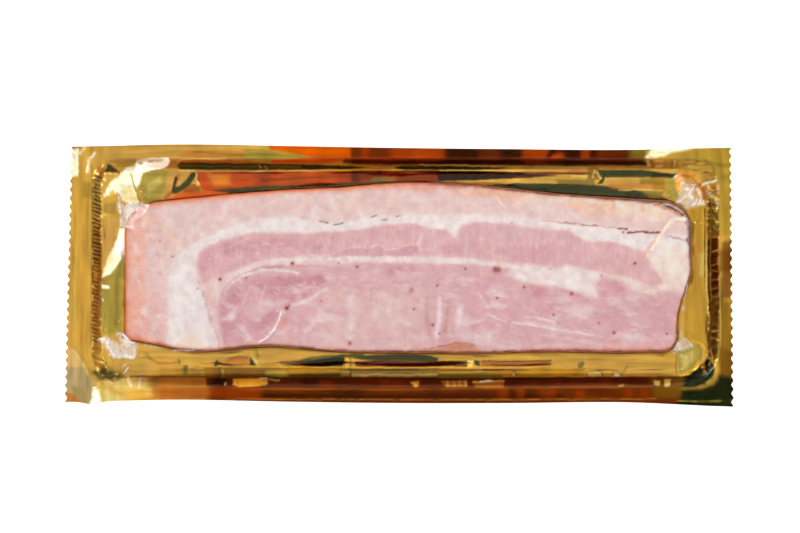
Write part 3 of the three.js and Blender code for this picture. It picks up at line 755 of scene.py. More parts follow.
RIGHT_SIDE = (
    # Painted reflections: the short wall's seam is a dark green line and a chain of brown puckers, with
    # painted glints between them
    area(colour(176, 134, 34), 0.75, 8, (689, 205), (709, 205), (709, 350), (684, 340)),
    area(TAN, 0.4, 4, (691, 244), (698, 244), (697, 262), (694, 273), (691, 273)),
    area(SAND, 0.4, 4, (699, 254), (706, 252), (706, 276), (699, 276)),
    stroke(SAND, 0.8, 1.2, 0.5, (706.6, 240), (706.6, 280), (707.8, 312)),
    area(BROWN, 0.95, 1.6, (711, 238), (718, 238), (718.4, 296), (711.4, 296)),
    area(UMBER, 0.9, 2, (711.4, 297), (719.6, 297), (719.6, 360), (706, 356), (709, 330)),
    area(DARK_BROWN, 0.5, 3, (712, 330), (718, 330), (718, 356), (712, 352)),
    *[
        stroke(shade, 0.9, 1.3, 0.55, (711.6, y + slope), (715, y), (718.4, y - slope))
        for shade, y, slope in (
            (SAND, 250.6, 1), (DARK_BROWN, 256.4, -0.6), (GOLD, 264.4, 1), (DARK_BROWN, 267.6, 0.6),
            (GOLD, 271, -0.6), (DARK_BROWN, 275, 0.6), (GOLD, 279.6, 0.8), (DARK_BROWN, 284, 0.6),
            (GOLD, 288.6, 1), (DARK_BROWN, 292, 0.8), (BROWN, 300, 3), (BROWN, 315, 2.4), (BROWN, 308, 2),
            (OLIVE, 322, 1), (DARK_BROWN, 327.4, -0.6), (LIGHT_GOLD, 331, 0.8), (DARK_BROWN, 335, 1),
            (GOLD, 339, -1), (BROWN, 343, 1),
        )
    ],
    stroke(DARK_GREEN, 1, 1.4, 0.9, (709, 240), (708.8, 262), (709, 290), (710.4, 314)),
    stroke(DARK_BROWN, 0.8, 1.6, 1.2, (708, 316), (706.6, 330), (708.6, 342)),
    stroke(OLIVE_GOLD, 0.7, 1.2, 0.5, (719.8, 204), (719.8, 345)),
    area(BROWN, 0.75, 6, (721.6, 243), (738, 236), (738, 300), (721.6, 298)),
    area(colour(108, 64, 8), 0.8, 5, (719, 250), (738, 248), (738, 272), (719, 272)),
    area(colour(132, 98, 22), 0.9, 8, (721.6, 300), (738, 302), (738, 350), (721.6, 350)),
    stroke(DARK_GREEN, 0.7, 2, 0.8, (722, 278), (722.4, 350)),
)
BOTTOM_RIGHT = (
    # Painted reflections round the bottom right corner, dark green and olive, with a painted gold
    # highlight
    area(BLACK_GREEN, 1, 1.8, (679, 377), (690, 373.6), (697, 369), (702, 362), (708, 358), (715, 366),
        (713, 377), (704, 385), (690, 387.6), (678, 387)),
    stroke(TAN, 0.8, 2, 1.6, (703, 363), (704, 371)),
    stroke(LIGHT_GOLD, 0.7, 1.2, 0.5, (711, 350), (713, 358), (709, 364)),
    stroke(BROWN, 0.8, 1.6, 0.9, (714.4, 350), (714, 362)),
    area(OLIVE_GOLD, 0.9, 2, (677, 352), (690, 346), (698, 343), (703, 350), (701, 358), (694, 367),
        (679, 376)),
    area(SAND, 0.6, 4, (681, 356), (694, 350), (694, 360), (683, 370)),
    stroke(BROWN, 0.7, 1.2, 0.5, (676.6, 354), (676, 368), (677.6, 377)),
    stroke(RICH_GOLD, 0.9, 1.5, 0.8, (694, 341), (703, 344.6), (706, 350), (703.4, 360), (696, 369.4),
        (688, 374), (679, 377)),
    stroke(OLIVE, 0.7, 1.2, 0.6, (698, 345.6), (702, 351), (700, 359), (692, 367)),
    area(UMBER, 0.95, 6, (718, 346), (740, 352), (740, 392), (720, 378)),
    area(BLACK_GREEN, 1, 7, (668, 388), (700, 388), (712, 384), (719, 374), (728, 376), (740, 380),
        (740, 414), (668, 414)),
    stroke(OLIVE, 0.6, 2, 0.8, (674, 389), (690, 389), (702, 387), (708, 384)),
    stroke(OLIVE_GOLD, 0.9, 1.4, 0.6, (704, 386), (712, 380), (717.6, 367), (718.4, 345)),
    stroke(OLIVE_GOLD, 0.8, 1.1, 0.35, (650, 400.2), (690, 401), (732, 401.4)),
)
BOTTOM_FLANGE = (
    # Painted reflections: brown with fine lengthwise streaks, blocks of orange, and the tent's light in
    # broken painted patches
    area(BROWN, 1, 2, (205, 377.4), (680, 377), (676, 414), (205, 414)),
    stroke(TAN, 0.45, 2, 0.8, (230, 388.6), (400, 389.4), (650, 386.6)),
    stroke(DARK_BROWN, 0.7, 4, 2.6, (262, 396), (420, 397), (560, 396.6)),
    *[
        area(shade, 0.75 * strength, 6, (x, y), (x + wide, y), (x + wide - 1, y + high),
            (x + 1, y + high))
        for shade, strength, x, y, wide, high in (
            (DARK_BROWN, 0.8, 333, 389, 33, 12), (DARK_BROWN, 0.8, 300, 379, 18, 7),
            (DEEP_RED_ORANGE, 0.8, 575, 390, 10, 7), (DEEP_RED_ORANGE, 0.8, 624, 390, 10, 7), (DEEP_RED_ORANGE, 0.7, 640, 390, 9, 7),
            (DEEP_RED_ORANGE, 0.7, 497, 388, 11, 10), (DARK_BROWN, 0.5, 509, 383, 6, 13),
            (DEEP_RED_ORANGE, 0.7, 516, 389, 9, 9), (DARK_BROWN, 0.7, 526, 388, 10, 9),
            (DARK_BROWN, 0.7, 562, 380, 7, 5), (DEEP_RED_ORANGE, 0.6, 540, 390, 16, 8),
            (DARK_BROWN, 0.6, 428, 386, 12, 12), (DEEP_RED_ORANGE, 0.5, 380, 380, 24, 8),
            (DEEP_RED_ORANGE, 0.5, 600, 379, 12, 6), (DEEP_RED_ORANGE, 0.45, 320, 380, 12, 8),
        )
    ],
    stroke(DARK_BROWN, 0.9, 1.3, 0.7, (262, 377.6), (470, 378.6), (560, 378), (680, 377.4)),
    stroke(TAN, 0.8, 1.1, 0.4, (226, 398.8), (400, 399.8), (520, 399.8), (656, 398.8)),
    area(AMBER, 1, 1.6, (233, 379), (262, 378.4), (267, 378), (267, 385), (256, 386.6), (240, 387),
        (233, 385)),
    stroke(PALE_GOLD, 0.9, 1.2, 0.5, (260, 378.8), (267, 378.2)),
    stroke(TAN, 0.7, 1.4, 0.6, (238, 387), (237, 379)),
    stroke(LIGHT_GOLD, 0.9, 1.2, 0.5, (269, 379), (276, 380.4), (279, 380)),
    area(AMBER, 1, 1.4, (409.6, 381.4), (419, 381.2), (418.4, 386.6), (415, 387)),
    area(LIGHT_GOLD, 0.8, 1.2, (411, 382), (417, 382), (415, 385)),
    area(TAN, 1, 1.4, (440, 380.6), (467, 380.6), (467, 386.6), (446, 386.6)),
    *[stroke(LIGHT_GOLD, 0.7, 1.2, 0.6, (x, 381.4), (x + 0.6, 386)) for x in (447, 454, 459.6, 465)],
    area(TAN, 0.85, 1.6, (472, 381), (504, 380), (504, 388), (476, 388)),
    stroke(LIGHT_GOLD, 0.9, 1.2, 0.5, (473, 382.4), (504, 380.8)),
    stroke(PALE_GOLD, 1, 1.2, 0.7, (480, 381.8), (486, 381), (492, 381.4)),
    stroke(LIGHT_GOLD, 0.9, 1.3, 0.7, (619.6, 385.6), (623, 385.6)),
    area(UMBER, 0.9, 6, (650, 378), (684, 378), (680, 398), (654, 397)),
    area(LIGHT_GOLD, 0.9, 1.5, (653.6, 380.6), (661, 381), (659, 386), (655, 385)),
    area(LIGHT_GOLD, 0.8, 1.5, (664, 379.6), (671, 379), (670, 386), (665, 387)),
    # Towards the left the painted reflection pales to gold
    area(TAN, 0.9, 9, (150, 376), (212, 377), (208, 400), (146, 400)),
    block(DEEP_RED_ORANGE, 0.45, 6, 160, 389, 209, 400),
    area(LIGHT_GOLD, 0.7, 7, (112, 378), (150, 376), (152, 396), (124, 400)),
    area(AMBER, 0.5, 5, (122, 391), (146, 389), (152, 400), (126, 400)),
    stroke(PALE_GOLD, 0.9, 1.6, 1, (127.6, 379), (131, 386)),
    stroke(PALE_GOLD, 0.7, 1.6, 1.2, (139.6, 377), (139.6, 387)),
    area(OLIVE, 0.5, 5, (147, 377), (157, 377), (158, 388), (147, 388)),
    area(DARK_BROWN, 0.85, 3, (206, 377.6), (225, 378), (225, 387), (206, 386)),
    area(DEEP_RED_ORANGE, 0.5, 3, (209, 387), (262, 388), (262, 398), (209, 398)),
    stroke(LIGHT_GOLD, 1, 1.2, 0.6, (224.6, 383), (225.2, 385)),
)
BOTTOM_TROUGH = (
    # Painted reflections along the bottom trough
    area(DARK_GOLD, 0.9, 2.4, (205, 366.6), (440, 367), (440, 377), (205, 377)),
    area(DEEP_GOLD, 0.6, 3, (160, 368), (212, 368), (212, 376.6), (160, 376)),
    stroke(OLIVE, 0.9, 1.4, 0.8, (146, 353), (148.4, 357), (151, 360), (157, 361.8)),
    stroke(OLIVE, 0.6, 1.4, 0.5, (143, 357), (149, 358)),
    stroke(TAN, 0.9, 2.2, 1.5, (158, 363), (170, 363.6), (178, 362.4)),
    stroke(DARK_GREEN, 0.9, 1.2, 0.6, (178.4, 359.6), (179.4, 364)),
    area(OLIVE, 0.9, 1.8, (182.6, 365), (188, 366), (187.4, 375), (183, 375)),
    stroke(DARK_GREEN, 0.7, 1.6, 1, (186, 366), (186, 372)),
    stroke(SAND, 0.9, 1.2, 0.5, (193.4, 370), (201.6, 369.4), (202.4, 375)),
    stroke(OLIVE, 0.8, 1.2, 0.5, (192, 375), (192.6, 369.4)),
    stroke(TAN, 0.9, 1.8, 1, (200, 363.4), (208, 364), (215, 363)),
    area(DARK_GREEN, 1, 1.3, (217, 359.4), (219, 363), (217, 366.4), (213.6, 366)),
    stroke(DARK_GREEN, 0.8, 1.2, 0.6, (219, 369), (220, 375)),
    stroke(SAND, 0.9, 1.2, 0.5, (222, 369), (223.4, 375)),
    area(TAN, 0.95, 2, (224, 361), (236, 357), (250, 359.4), (250, 364.6), (236, 365.4), (226, 364)),
    stroke(BROWN, 0.7, 1.8, 0.8, (228, 358.6), (238, 356.6), (248, 358)),
    area(BLACK_GREEN, 1, 1.1, (250, 356.4), (256.4, 365.6), (249.6, 365.4)),
    stroke(SAND, 1, 1.1, 0.6, (251, 354.4), (255, 360), (258.6, 367)),
    stroke(OLIVE, 0.7, 2.4, 1.2, (255, 349), (258, 357)),
    # Three long dents, in painted reflections dark over brown, with painted highlights on the knots of
    # film between them
    stroke(TAN, 0.9, 1.4, 0.8, (273, 363.6), (282, 361.6)),
    area(DARK_GREEN, 0.9, 3, (292, 361.6), (310, 357.4), (326, 355.2), (344, 354.6), (345, 360),
        (312, 363), (296, 364)),
    area(BLACK_GREEN, 1, 2, (300, 363.6), (318, 359.6), (332, 357.4), (344, 357.6), (344.6, 364),
        (341, 366.8), (306, 366.8)),
    stroke(BROWN, 0.9, 2, 1, (280, 362.6), (292, 361.8), (306, 363)),
    area(OLIVE, 0.8, 1.4, (280, 363.4), (300, 363.6), (306, 366), (284, 366.2)),
    stroke(OLIVE_GOLD, 0.6, 1.1, 0.4, (312, 359), (330, 357)),
    area(DARK_GREEN, 0.9, 1.6, (336, 355), (350, 353.8), (364, 353.6), (364, 357), (340, 358)),
    stroke(RICH_GOLD, 1, 1.4, 1.3, (346.6, 359.4), (346.6, 367)),
    stroke(DARK_GREEN, 0.9, 1.1, 0.5, (350, 358), (350.6, 366)),
    area(DARK_GREEN, 1, 1.6, (351, 358), (362, 355.6), (400, 354), (430, 355.4), (439, 359),
        (437, 362.8), (400, 360.8), (366, 360.4)),
    area(BROWN, 1, 1.6, (354, 361.8), (380, 360), (420, 361.8), (466, 360.6), (467, 366.6), (356, 366.6)),
    area(OLIVE, 0.7, 1.6, (457, 361), (467, 360.4), (466, 364.6), (457, 365)),
    area(LIGHT_GOLD, 1, 1.3, (467.4, 361), (473.4, 361), (472.4, 366), (475, 368.6), (466, 368.6),
        (468.6, 365)),
    area(DARK_GREEN, 1, 1.3, (474.4, 360.6), (479.6, 361), (480, 366.6), (475, 365.4)),
    area(TAN, 0.9, 1.6, (480.6, 361), (520, 361.6), (551, 360.8), (551, 365.6), (520, 366.4),
        (481, 366.4)),
    area(BROWN, 0.35, 1.6, (480.6, 361), (520, 361.6), (551, 360.8), (551, 365.6), (520, 366.4),
        (481, 366.4)),
    stroke(BROWN, 0.9, 1.1, 0.5, (481, 360.8), (520, 361.4), (551, 360.6)),
    stroke(TAN, 0.6, 1.8, 0.8, (552, 363), (562, 363.4)),
    # Painted reflections on the step below them
    stroke(RICH_GOLD, 0.9, 1.1, 0.5, (200, 366.8), (262, 367), (340, 367.4), (470, 367.8), (500, 368)),
    block(BROWN, 0.35, 1.6, 230, 369.6, 265, 376),
    area(OLIVE_GOLD, 1, 1.3, (265, 371), (287, 370.6), (287.6, 375.6), (265, 375.6)),
    area(DEEP_GOLD, 0.9, 1.4, (288.6, 369.4), (340, 369.4), (340, 373), (289, 374)),
    area(DARK_GREEN, 0.7, 1.4, (289, 374.4), (340, 373), (340, 376.6), (289, 376.8)),
    block(OLIVE_GOLD, 1, 1.3, 341, 370, 349.6, 376),
    stroke(DARK_GREEN, 0.9, 1.1, 0.5, (350.6, 369), (350.6, 376)),
    area(OLIVE, 1, 1.3, (352, 370.4), (437, 370.6), (437, 373.6), (352, 373.4)),
    stroke(SAND, 1, 1.1, 1, (353, 375), (400, 375.2), (437, 374.8)),
    area(DEEP_GOLD, 1, 1.5, (438, 369), (475, 369), (475, 372), (438, 373)),
    area(OLIVE, 0.9, 1.5, (438, 373.6), (472, 372.6), (484, 372), (503, 374.4), (503, 378), (438, 378)),
    area(DEEP_GOLD, 0.95, 2, (484, 368.6), (585, 369), (585, 376), (505, 376), (484, 371.6)),
    stroke(DARK_GREEN, 0.9, 1.4, 0.7, (130, 376.6), (200, 377), (262, 377.4), (340, 377.4)),
    # Small rings and drops, painted in reflected light and shade, with pale painted glints
    stroke(DARK_BROWN, 0.9, 1, 0.4, (512.4, 375), (512.4, 371.8), (516, 371.8), (516.4, 375.4)),
    stroke(PALE_GOLD, 1, 1, 0.6, (514, 374.6), (515, 375.4)),
    area(OLIVE, 1, 1.4, (579, 368), (578.6, 363.4), (583, 361), (585, 363), (582.4, 368.4)),
    stroke(OLIVE, 0.7, 1.8, 1.1, (575, 375.6), (578, 372)),
    stroke(TAN, 0.5, 1.8, 0.7, (589, 365), (618, 365)),
    block(SAND, 0.9, 1.2, 588.6, 372.4, 601.4, 376.4),
    stroke(BROWN, 0.8, 1, 0.45, (587.4, 376.6), (587.6, 372.6), (590, 371.2), (600, 371.2), (602.4, 373),
        (602.6, 376.4)),
    stroke(BROWN, 0.8, 1, 0.45, (612.4, 375), (613.4, 371.8), (619, 371.4), (621.8, 374.6)),
    stroke(PALE_GOLD, 1, 1.2, 0.9, (615.6, 375.4), (618.6, 375.4)),
    stroke(OLIVE, 0.8, 1.3, 0.7, (627, 365.6), (624.6, 371), (622.6, 374.6)),
)
SLAB_GLOW = (
    # Painted reflections: beside the slab the film mirrors its stained edge
    stroke(colour(232, 112, 58), 0.9, 2, 0.8, (127.6, 232), (125.8, 262), (125.4, 296)),
    stroke(DARK_BROWN, 0.7, 1.6, 0.6, (125.4, 296), (125.6, 336)),
    stroke(ORANGE, 0.9, 1.8, 0.8, (160, 203.4), (186, 198), (222, 193.6)),
)
BOTTOM_LEFT = (
    # Painted reflections: the corner is bent down beyond its crease, with a painted glare
    area(colour(92, 80, 34), 0.95, 5, (91, 371), (104, 367), (124, 374), (119, 381), (98, 381)),
    stroke(DARK_GREEN, 0.8, 3, 1.2, (94, 373), (106, 371), (114, 373.6), (122, 377)),
    stroke(OLIVE, 0.9, 2, 1, (103, 361), (106, 367), (114, 373), (126, 378)),
    stroke(BROWN, 0.6, 2, 0.8, (105, 363), (109, 368)),
    area(SAND, 0.6, 5, (100, 381), (122, 380), (130, 392), (112, 390)),
    area(colour(206, 168, 112), 0.9, 4, (66, 346), (76, 350), (86, 367), (66, 370)),
    area(GREY_TAN, 1, 4, (60, 368), (85, 367), (94, 382), (92, 406), (60, 410)),
    area(OLIVE, 0.5, 5, (70, 386), (82, 388), (88, 402), (80, 404)),
    area(SAND, 0.9, 3, (97, 387), (108, 391), (126, 399), (124, 408), (98, 408)),
    area(TAN, 0.9, 2.4, (60, 390), (70, 393), (82, 402), (78, 408), (60, 402)),
    area(GLARE, 1, 1.5, (94, 386), (96, 389), (98.6, 396), (101, 406), (90, 406), (92.6, 396)),
    stroke(SAND, 0.9, 1.3, 0.4, (74, 350), (84, 365), (92.5, 382), (108, 390), (126, 399)),
    stroke(OLIVE, 0.5, 1.6, 0.5, (75, 348.6), (86, 363), (94, 380)),
)
# All the painted reflections and highlights on the tray, in the order they are laid
TRAY_PAINTED_REFLECTIONS = (
    *TOP_FLANGE, *TOP_GROOVE, *TOP_LEFT, *LEFT_SIDE, *TOP_RIGHT, *RIGHT_SIDE, *BOTTOM_RIGHT,
    *BOTTOM_FLANGE, *BOTTOM_TROUGH, *BOTTOM_LEFT, *SLAB_GLOW,
)

mesh = tray.data
places = vertex_places(mesh)
shades = painted(places, GOLD, TRAY_PAINTED_REFLECTIONS, wander=0.2)
at_end = smooth(94, 108, abs(places[:, 0]))
on_long_flange = smooth(26, 32, abs(places[:, 1])) * (1 - at_end)
# Painted patches of lighter and darker reflection along the long flanges
reflection_patches = 1 + 0.2 * ripple(places * (1, 0.12, 0), 5, 15) * on_long_flange
paint_mesh(mesh, shades * reflection_patches[:, None])
mask_mesh(mesh, "at_end", at_end)
in_shoulder, in_trough = (
    smooth(-0.5, 0.5, inside(places, rounded_ring(outline, 60, 30))) for outline in (SHOULDER, TROUGH)
)
at_foot = 1 - smooth(0.3, 1.6, -inside(places, slab_ring(0.6, 120, 40)))
mask_mesh(mesh, "drawn", np.maximum(in_shoulder * (1 - in_trough), at_foot))

# Streaks run along the pack on its long sides and across it at the ends. They vary the roughness, and
# they shade the painted colour as painted streaks of reflection. Where the film is drawn over an edge it
# is thinner, and less of a mirror.
ALONG, ACROSS = (45, 520, 300), (520, 60, 300)
gold_film, tree = new_material("gold_film")
spot = node(tree, "ShaderNodeTexCoord").outputs["Object"]
pulled = []
for stretch in (ALONG, ACROSS):
    stretched = node(tree, "ShaderNodeMapping", {"Vector": spot, "Scale": stretch}).outputs["Vector"]
    pulled.append(noise_at(tree, stretched, 1, 3))
streaks = node(tree, "ShaderNodeMix", {"Factor": kept(tree, "at_end"), 2: pulled[0], 3: pulled[1]})
streaks = streaks.outputs["Result"]
streak_reflection = ramp(tree, streaks, ((0.3, (0.7, 0.68, 0.6, 1)), (0.66, (1.08, 1.07, 1, 1))))
drawn = kept(tree, "drawn")
polish = reached(tree, streaks, to_min=0.1, to_max=0.2)
rough = node(tree, "ShaderNodeMath", {0: drawn, 1: 0.1, 2: polish}, operation="MULTIPLY_ADD")
dimples = noise_at(tree, spot, 240, 2)
bump = node(tree, "ShaderNodeBump", {"Height": dimples, "Strength": 0.25, "Distance": 0.0004})
surface = node(tree, "ShaderNodeBsdfPrincipled", {
    "Base Color": multiplied(tree, kept(tree, "paint", "Color"), streak_reflection),
    "Metallic": reached(tree, drawn, to_min=1, to_max=0.55),
    "Specular IOR Level": 0.15,
    "Roughness": rough.outputs["Value"],
    "Normal": bump.outputs["Normal"],
})
put_on(mesh, gold_film, surface.outputs["BSDF"])
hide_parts("gold_tray")


# BACON SLAB
# One piece of cured and smoked belly, cut through so that its lean and fat layers show. The knife
# left a level face, and the outside all round it is dried and stained by the smoke.
FACE_STEPS_LONG, FACE_STEPS_SHORT = 450, 170
FACE_INSET = 1.5
FACE_RELIEF = 0.175

# The softened rim, as steps out and down from the face, and the heights of the rows down the side
RIM_ROUND = ((-0.9, -0.02), (-0.45, -0.08), (-0.1, -0.3), (0.12, -0.8))
SIDE_ROWS = (23.2, 20.5, 17, 13, 9, 5.5, 3, 1.5, 0.85)


def coons_grid(form, ring, long_steps, short_steps):
    """A grid of vertices laid over all that a ring of points encloses. Returns its rim, in order."""
    bmesh.ops.create_grid(form, x_segments=long_steps, y_segments=short_steps, size=1)
    form.verts.ensure_lookup_table()
    n, m = long_steps, short_steps
    bottom, right = ring[: n + 1], ring[n : n + m + 1]
    top = ring[n + m : 2 * n + m + 1][::-1]
    left = np.vstack((ring[2 * n + m :], ring[:1]))[::-1]
    u = np.linspace(0, 1, n + 1)[None, :, None]
    v = np.linspace(0, 1, m + 1)[:, None, None]
    sides = bottom[None] * (1 - v) + top[None] * v + left[:, None] * (1 - u) + right[:, None] * u
    ends = (bottom[0] * (1 - u) + bottom[-1] * u) * (1 - v) + (top[0] * (1 - u) + top[-1] * u) * v
    flat = sides - ends
    by_place = {}
    for vertex in form.verts:
        i, j = round((vertex.co.x + 1) / 2 * n), round((vertex.co.y + 1) / 2 * m)
        by_place[i, j] = vertex
        vertex.co = (*flat[j, i], 0)
    rim = [by_place[i, 0] for i in range(n)] + [by_place[n, j] for j in range(m)]
    rim += [by_place[i, m] for i in range(n, 0, -1)] + [by_place[0, j] for j in range(m, 0, -1)]
    return rim


def face_height(x, y):
    """A low swell over the cut face, where lean and fat have settled unevenly."""
    swell = np.sin(x / 13 + 0.8) * np.cos(y / 9) + np.sin(x / 31 - y / 12)
    return SLAB_TOP - 2 * FACE_RELIEF + FACE_RELIEF * swell


def outwards(inner, outer):
    """The direction from each point of a ring to its partner on a wider one."""
    away = outer - inner
    return away / np.hypot(*away.T)[:, None]


form = bmesh.new()
face_steps = FACE_STEPS_LONG, FACE_STEPS_SHORT
inset = slab_ring(-FACE_INSET, *face_steps)
rim = coons_grid(form, inset, *face_steps)
for vertex in form.verts:
    vertex.co.z = face_height(vertex.co.x, vertex.co.y)
rings = []
for out, drop in RIM_ROUND:
    flat = slab_ring(out, *face_steps)
    rings.append(level_ring(flat, face_height(*flat.T) + drop))
side = slab_ring(0, *face_steps)
away = outwards(inset, side)
for z in SIDE_ROWS:
    rugged = 0.2 * ripple(inset, 6, z / 6)
    bulge = np.interp(z, (FOOT_HEIGHT, FOOT_HEIGHT + 2), (-0.2, -0.05))
    flat = side + away * (np.interp(z, SIDE_HEIGHTS, SIDE_OUT) + bulge + rugged)[:, None]
    rings.append(level_ring(flat, z))
rim = extrude_rings(form, rim, rings)
bmesh.ops.contextual_create(form, geom=loop_edges(form, rim))
bmesh.ops.recalc_face_normals(form, faces=form.faces)
slab = mesh_object("bacon_piece", form)

OUTER_FAT = colour(230, 205, 200)
PINK_FAT = colour(230, 202, 195)
ROSY_FAT = colour(228, 186, 180)
WHITE_FAT = colour(236, 228, 225)
PEACH_FAT = colour(237, 218, 197)
AMBER_FAT = colour(236, 200, 172)
PALE_LEAN = colour(224, 191, 192)
LEAN = colour(227, 188, 188)
DEEP_LEAN = colour(217, 166, 176)
MAUVE = colour(196, 152, 156)
DEEP_LOBE = colour(202, 145, 153)
RED_STREAK = colour(208, 144, 154)
SLIT = colour(92, 22, 12)
CLOT = colour(122, 4, 4)
BLOODSHOT = colour(204, 104, 92)
SMOKED_ORANGE = colour(246, 122, 70)
SMOKED_RED = colour(168, 62, 26)
SMOKED_SKIN = colour(196, 100, 58)
SMOKED_BROWN = colour(84, 30, 8)
SALMON = colour(222, 158, 132)

WHITE_BAND = (
    (166, 354), (169, 330), (170, 312), (168, 292), (171, 276), (174, 263), (178, 255), (185, 249),
    (204, 238.5), (223, 230), (238, 224), (252, 220), (269, 217), (288, 217), (307, 220), (331, 224),
    (350, 221), (379, 215.5), (400, 213.6), (457, 214.5), (495, 215), (540, 218.4), (573, 222.7),
    (617, 226.5), (660, 233), (692, 236), (692, 254), (650, 253), (633, 249), (622, 244), (606, 241),
    (591, 242.7), (579, 238.4), (568, 229.7), (530, 228.8), (514, 224.6), (490, 222.2), (471, 222.2),
    (460, 226), (457, 239), (452, 236), (447, 229.8), (431, 230.8), (427, 228), (416, 224),
    (399, 223.6), (384, 225), (346, 231), (307, 232.7), (264, 232.2), (247, 233.7), (219.5, 241.3),
    (202, 249), (197, 256), (197, 272), (202, 289), (207, 300), (212.7, 321), (217.5, 334),
    (221.5, 354),
)
UPPER_LEAN = (
    (199, 254), (204, 249), (219.5, 242), (247, 234.5), (264, 233), (307, 233.5), (346, 231.5),
    (384, 226), (399, 224), (416, 224.5), (427, 228.5), (447, 230.5), (452, 236), (457, 239),
    (461, 226), (471, 222.7), (490, 222.7), (514, 225), (530, 229.5), (568, 230.5), (579, 239),
    (591, 243), (606, 241.5), (622, 244.5), (633, 249.5), (644, 252), (650, 262), (659, 276),
    (664, 284), (652, 286), (640, 282), (628, 278), (606, 273), (591, 270.5), (567, 265), (553, 268),
    (540, 266), (518, 262.4), (509, 264.3), (495, 261.4), (472, 258.6), (442, 255.7), (418, 256.5),
    (368, 256.5), (326, 256), (300, 256), (262, 260), (250, 264), (223, 276), (213, 279), (204, 285),
    (200, 270),
)
LOWER_LEAN = (
    (219, 302), (222, 292), (229, 284), (239, 277), (252, 271), (268, 267), (300, 264.5), (400, 262.5),
    (420, 263.5), (490, 264), (500, 267), (530, 271), (530, 283), (552, 285), (577, 291), (586, 297),
    (597, 298), (594, 286), (600, 276), (620, 283), (631, 289), (640, 294), (666, 290), (680, 289),
    (692, 284), (692, 356), (222, 356), (223, 346), (220, 324), (217.5, 315),
)
ROUND_MUSCLE = (
    (220, 302), (224, 295.5), (231, 290), (239.5, 284), (250, 279.5), (268, 274.6), (305, 275.5),
    (318, 273), (328, 274), (327, 282), (320, 290), (311, 297), (302, 302), (290, 307), (281, 312),
    (277, 321), (270, 332), (258, 340), (246, 343), (225, 344), (220.5, 324),
)
WHITE_PATCH = (
    (516, 267), (541, 267.5), (554, 270), (566, 266), (579, 270), (591, 271.5), (599, 276), (593, 284),
    (595, 290), (598, 299), (586, 297), (577, 291), (562, 287), (541, 283), (520, 281), (505, 274),
)
RIGHT_FAT = (
    (604, 274), (620, 276), (638, 283), (652, 287), (663, 284), (657, 274), (650, 266), (645, 252),
    (660, 248), (694, 248), (692, 272), (680, 289), (666, 291), (652, 293), (638, 292), (620, 282),
    (608, 279),
)
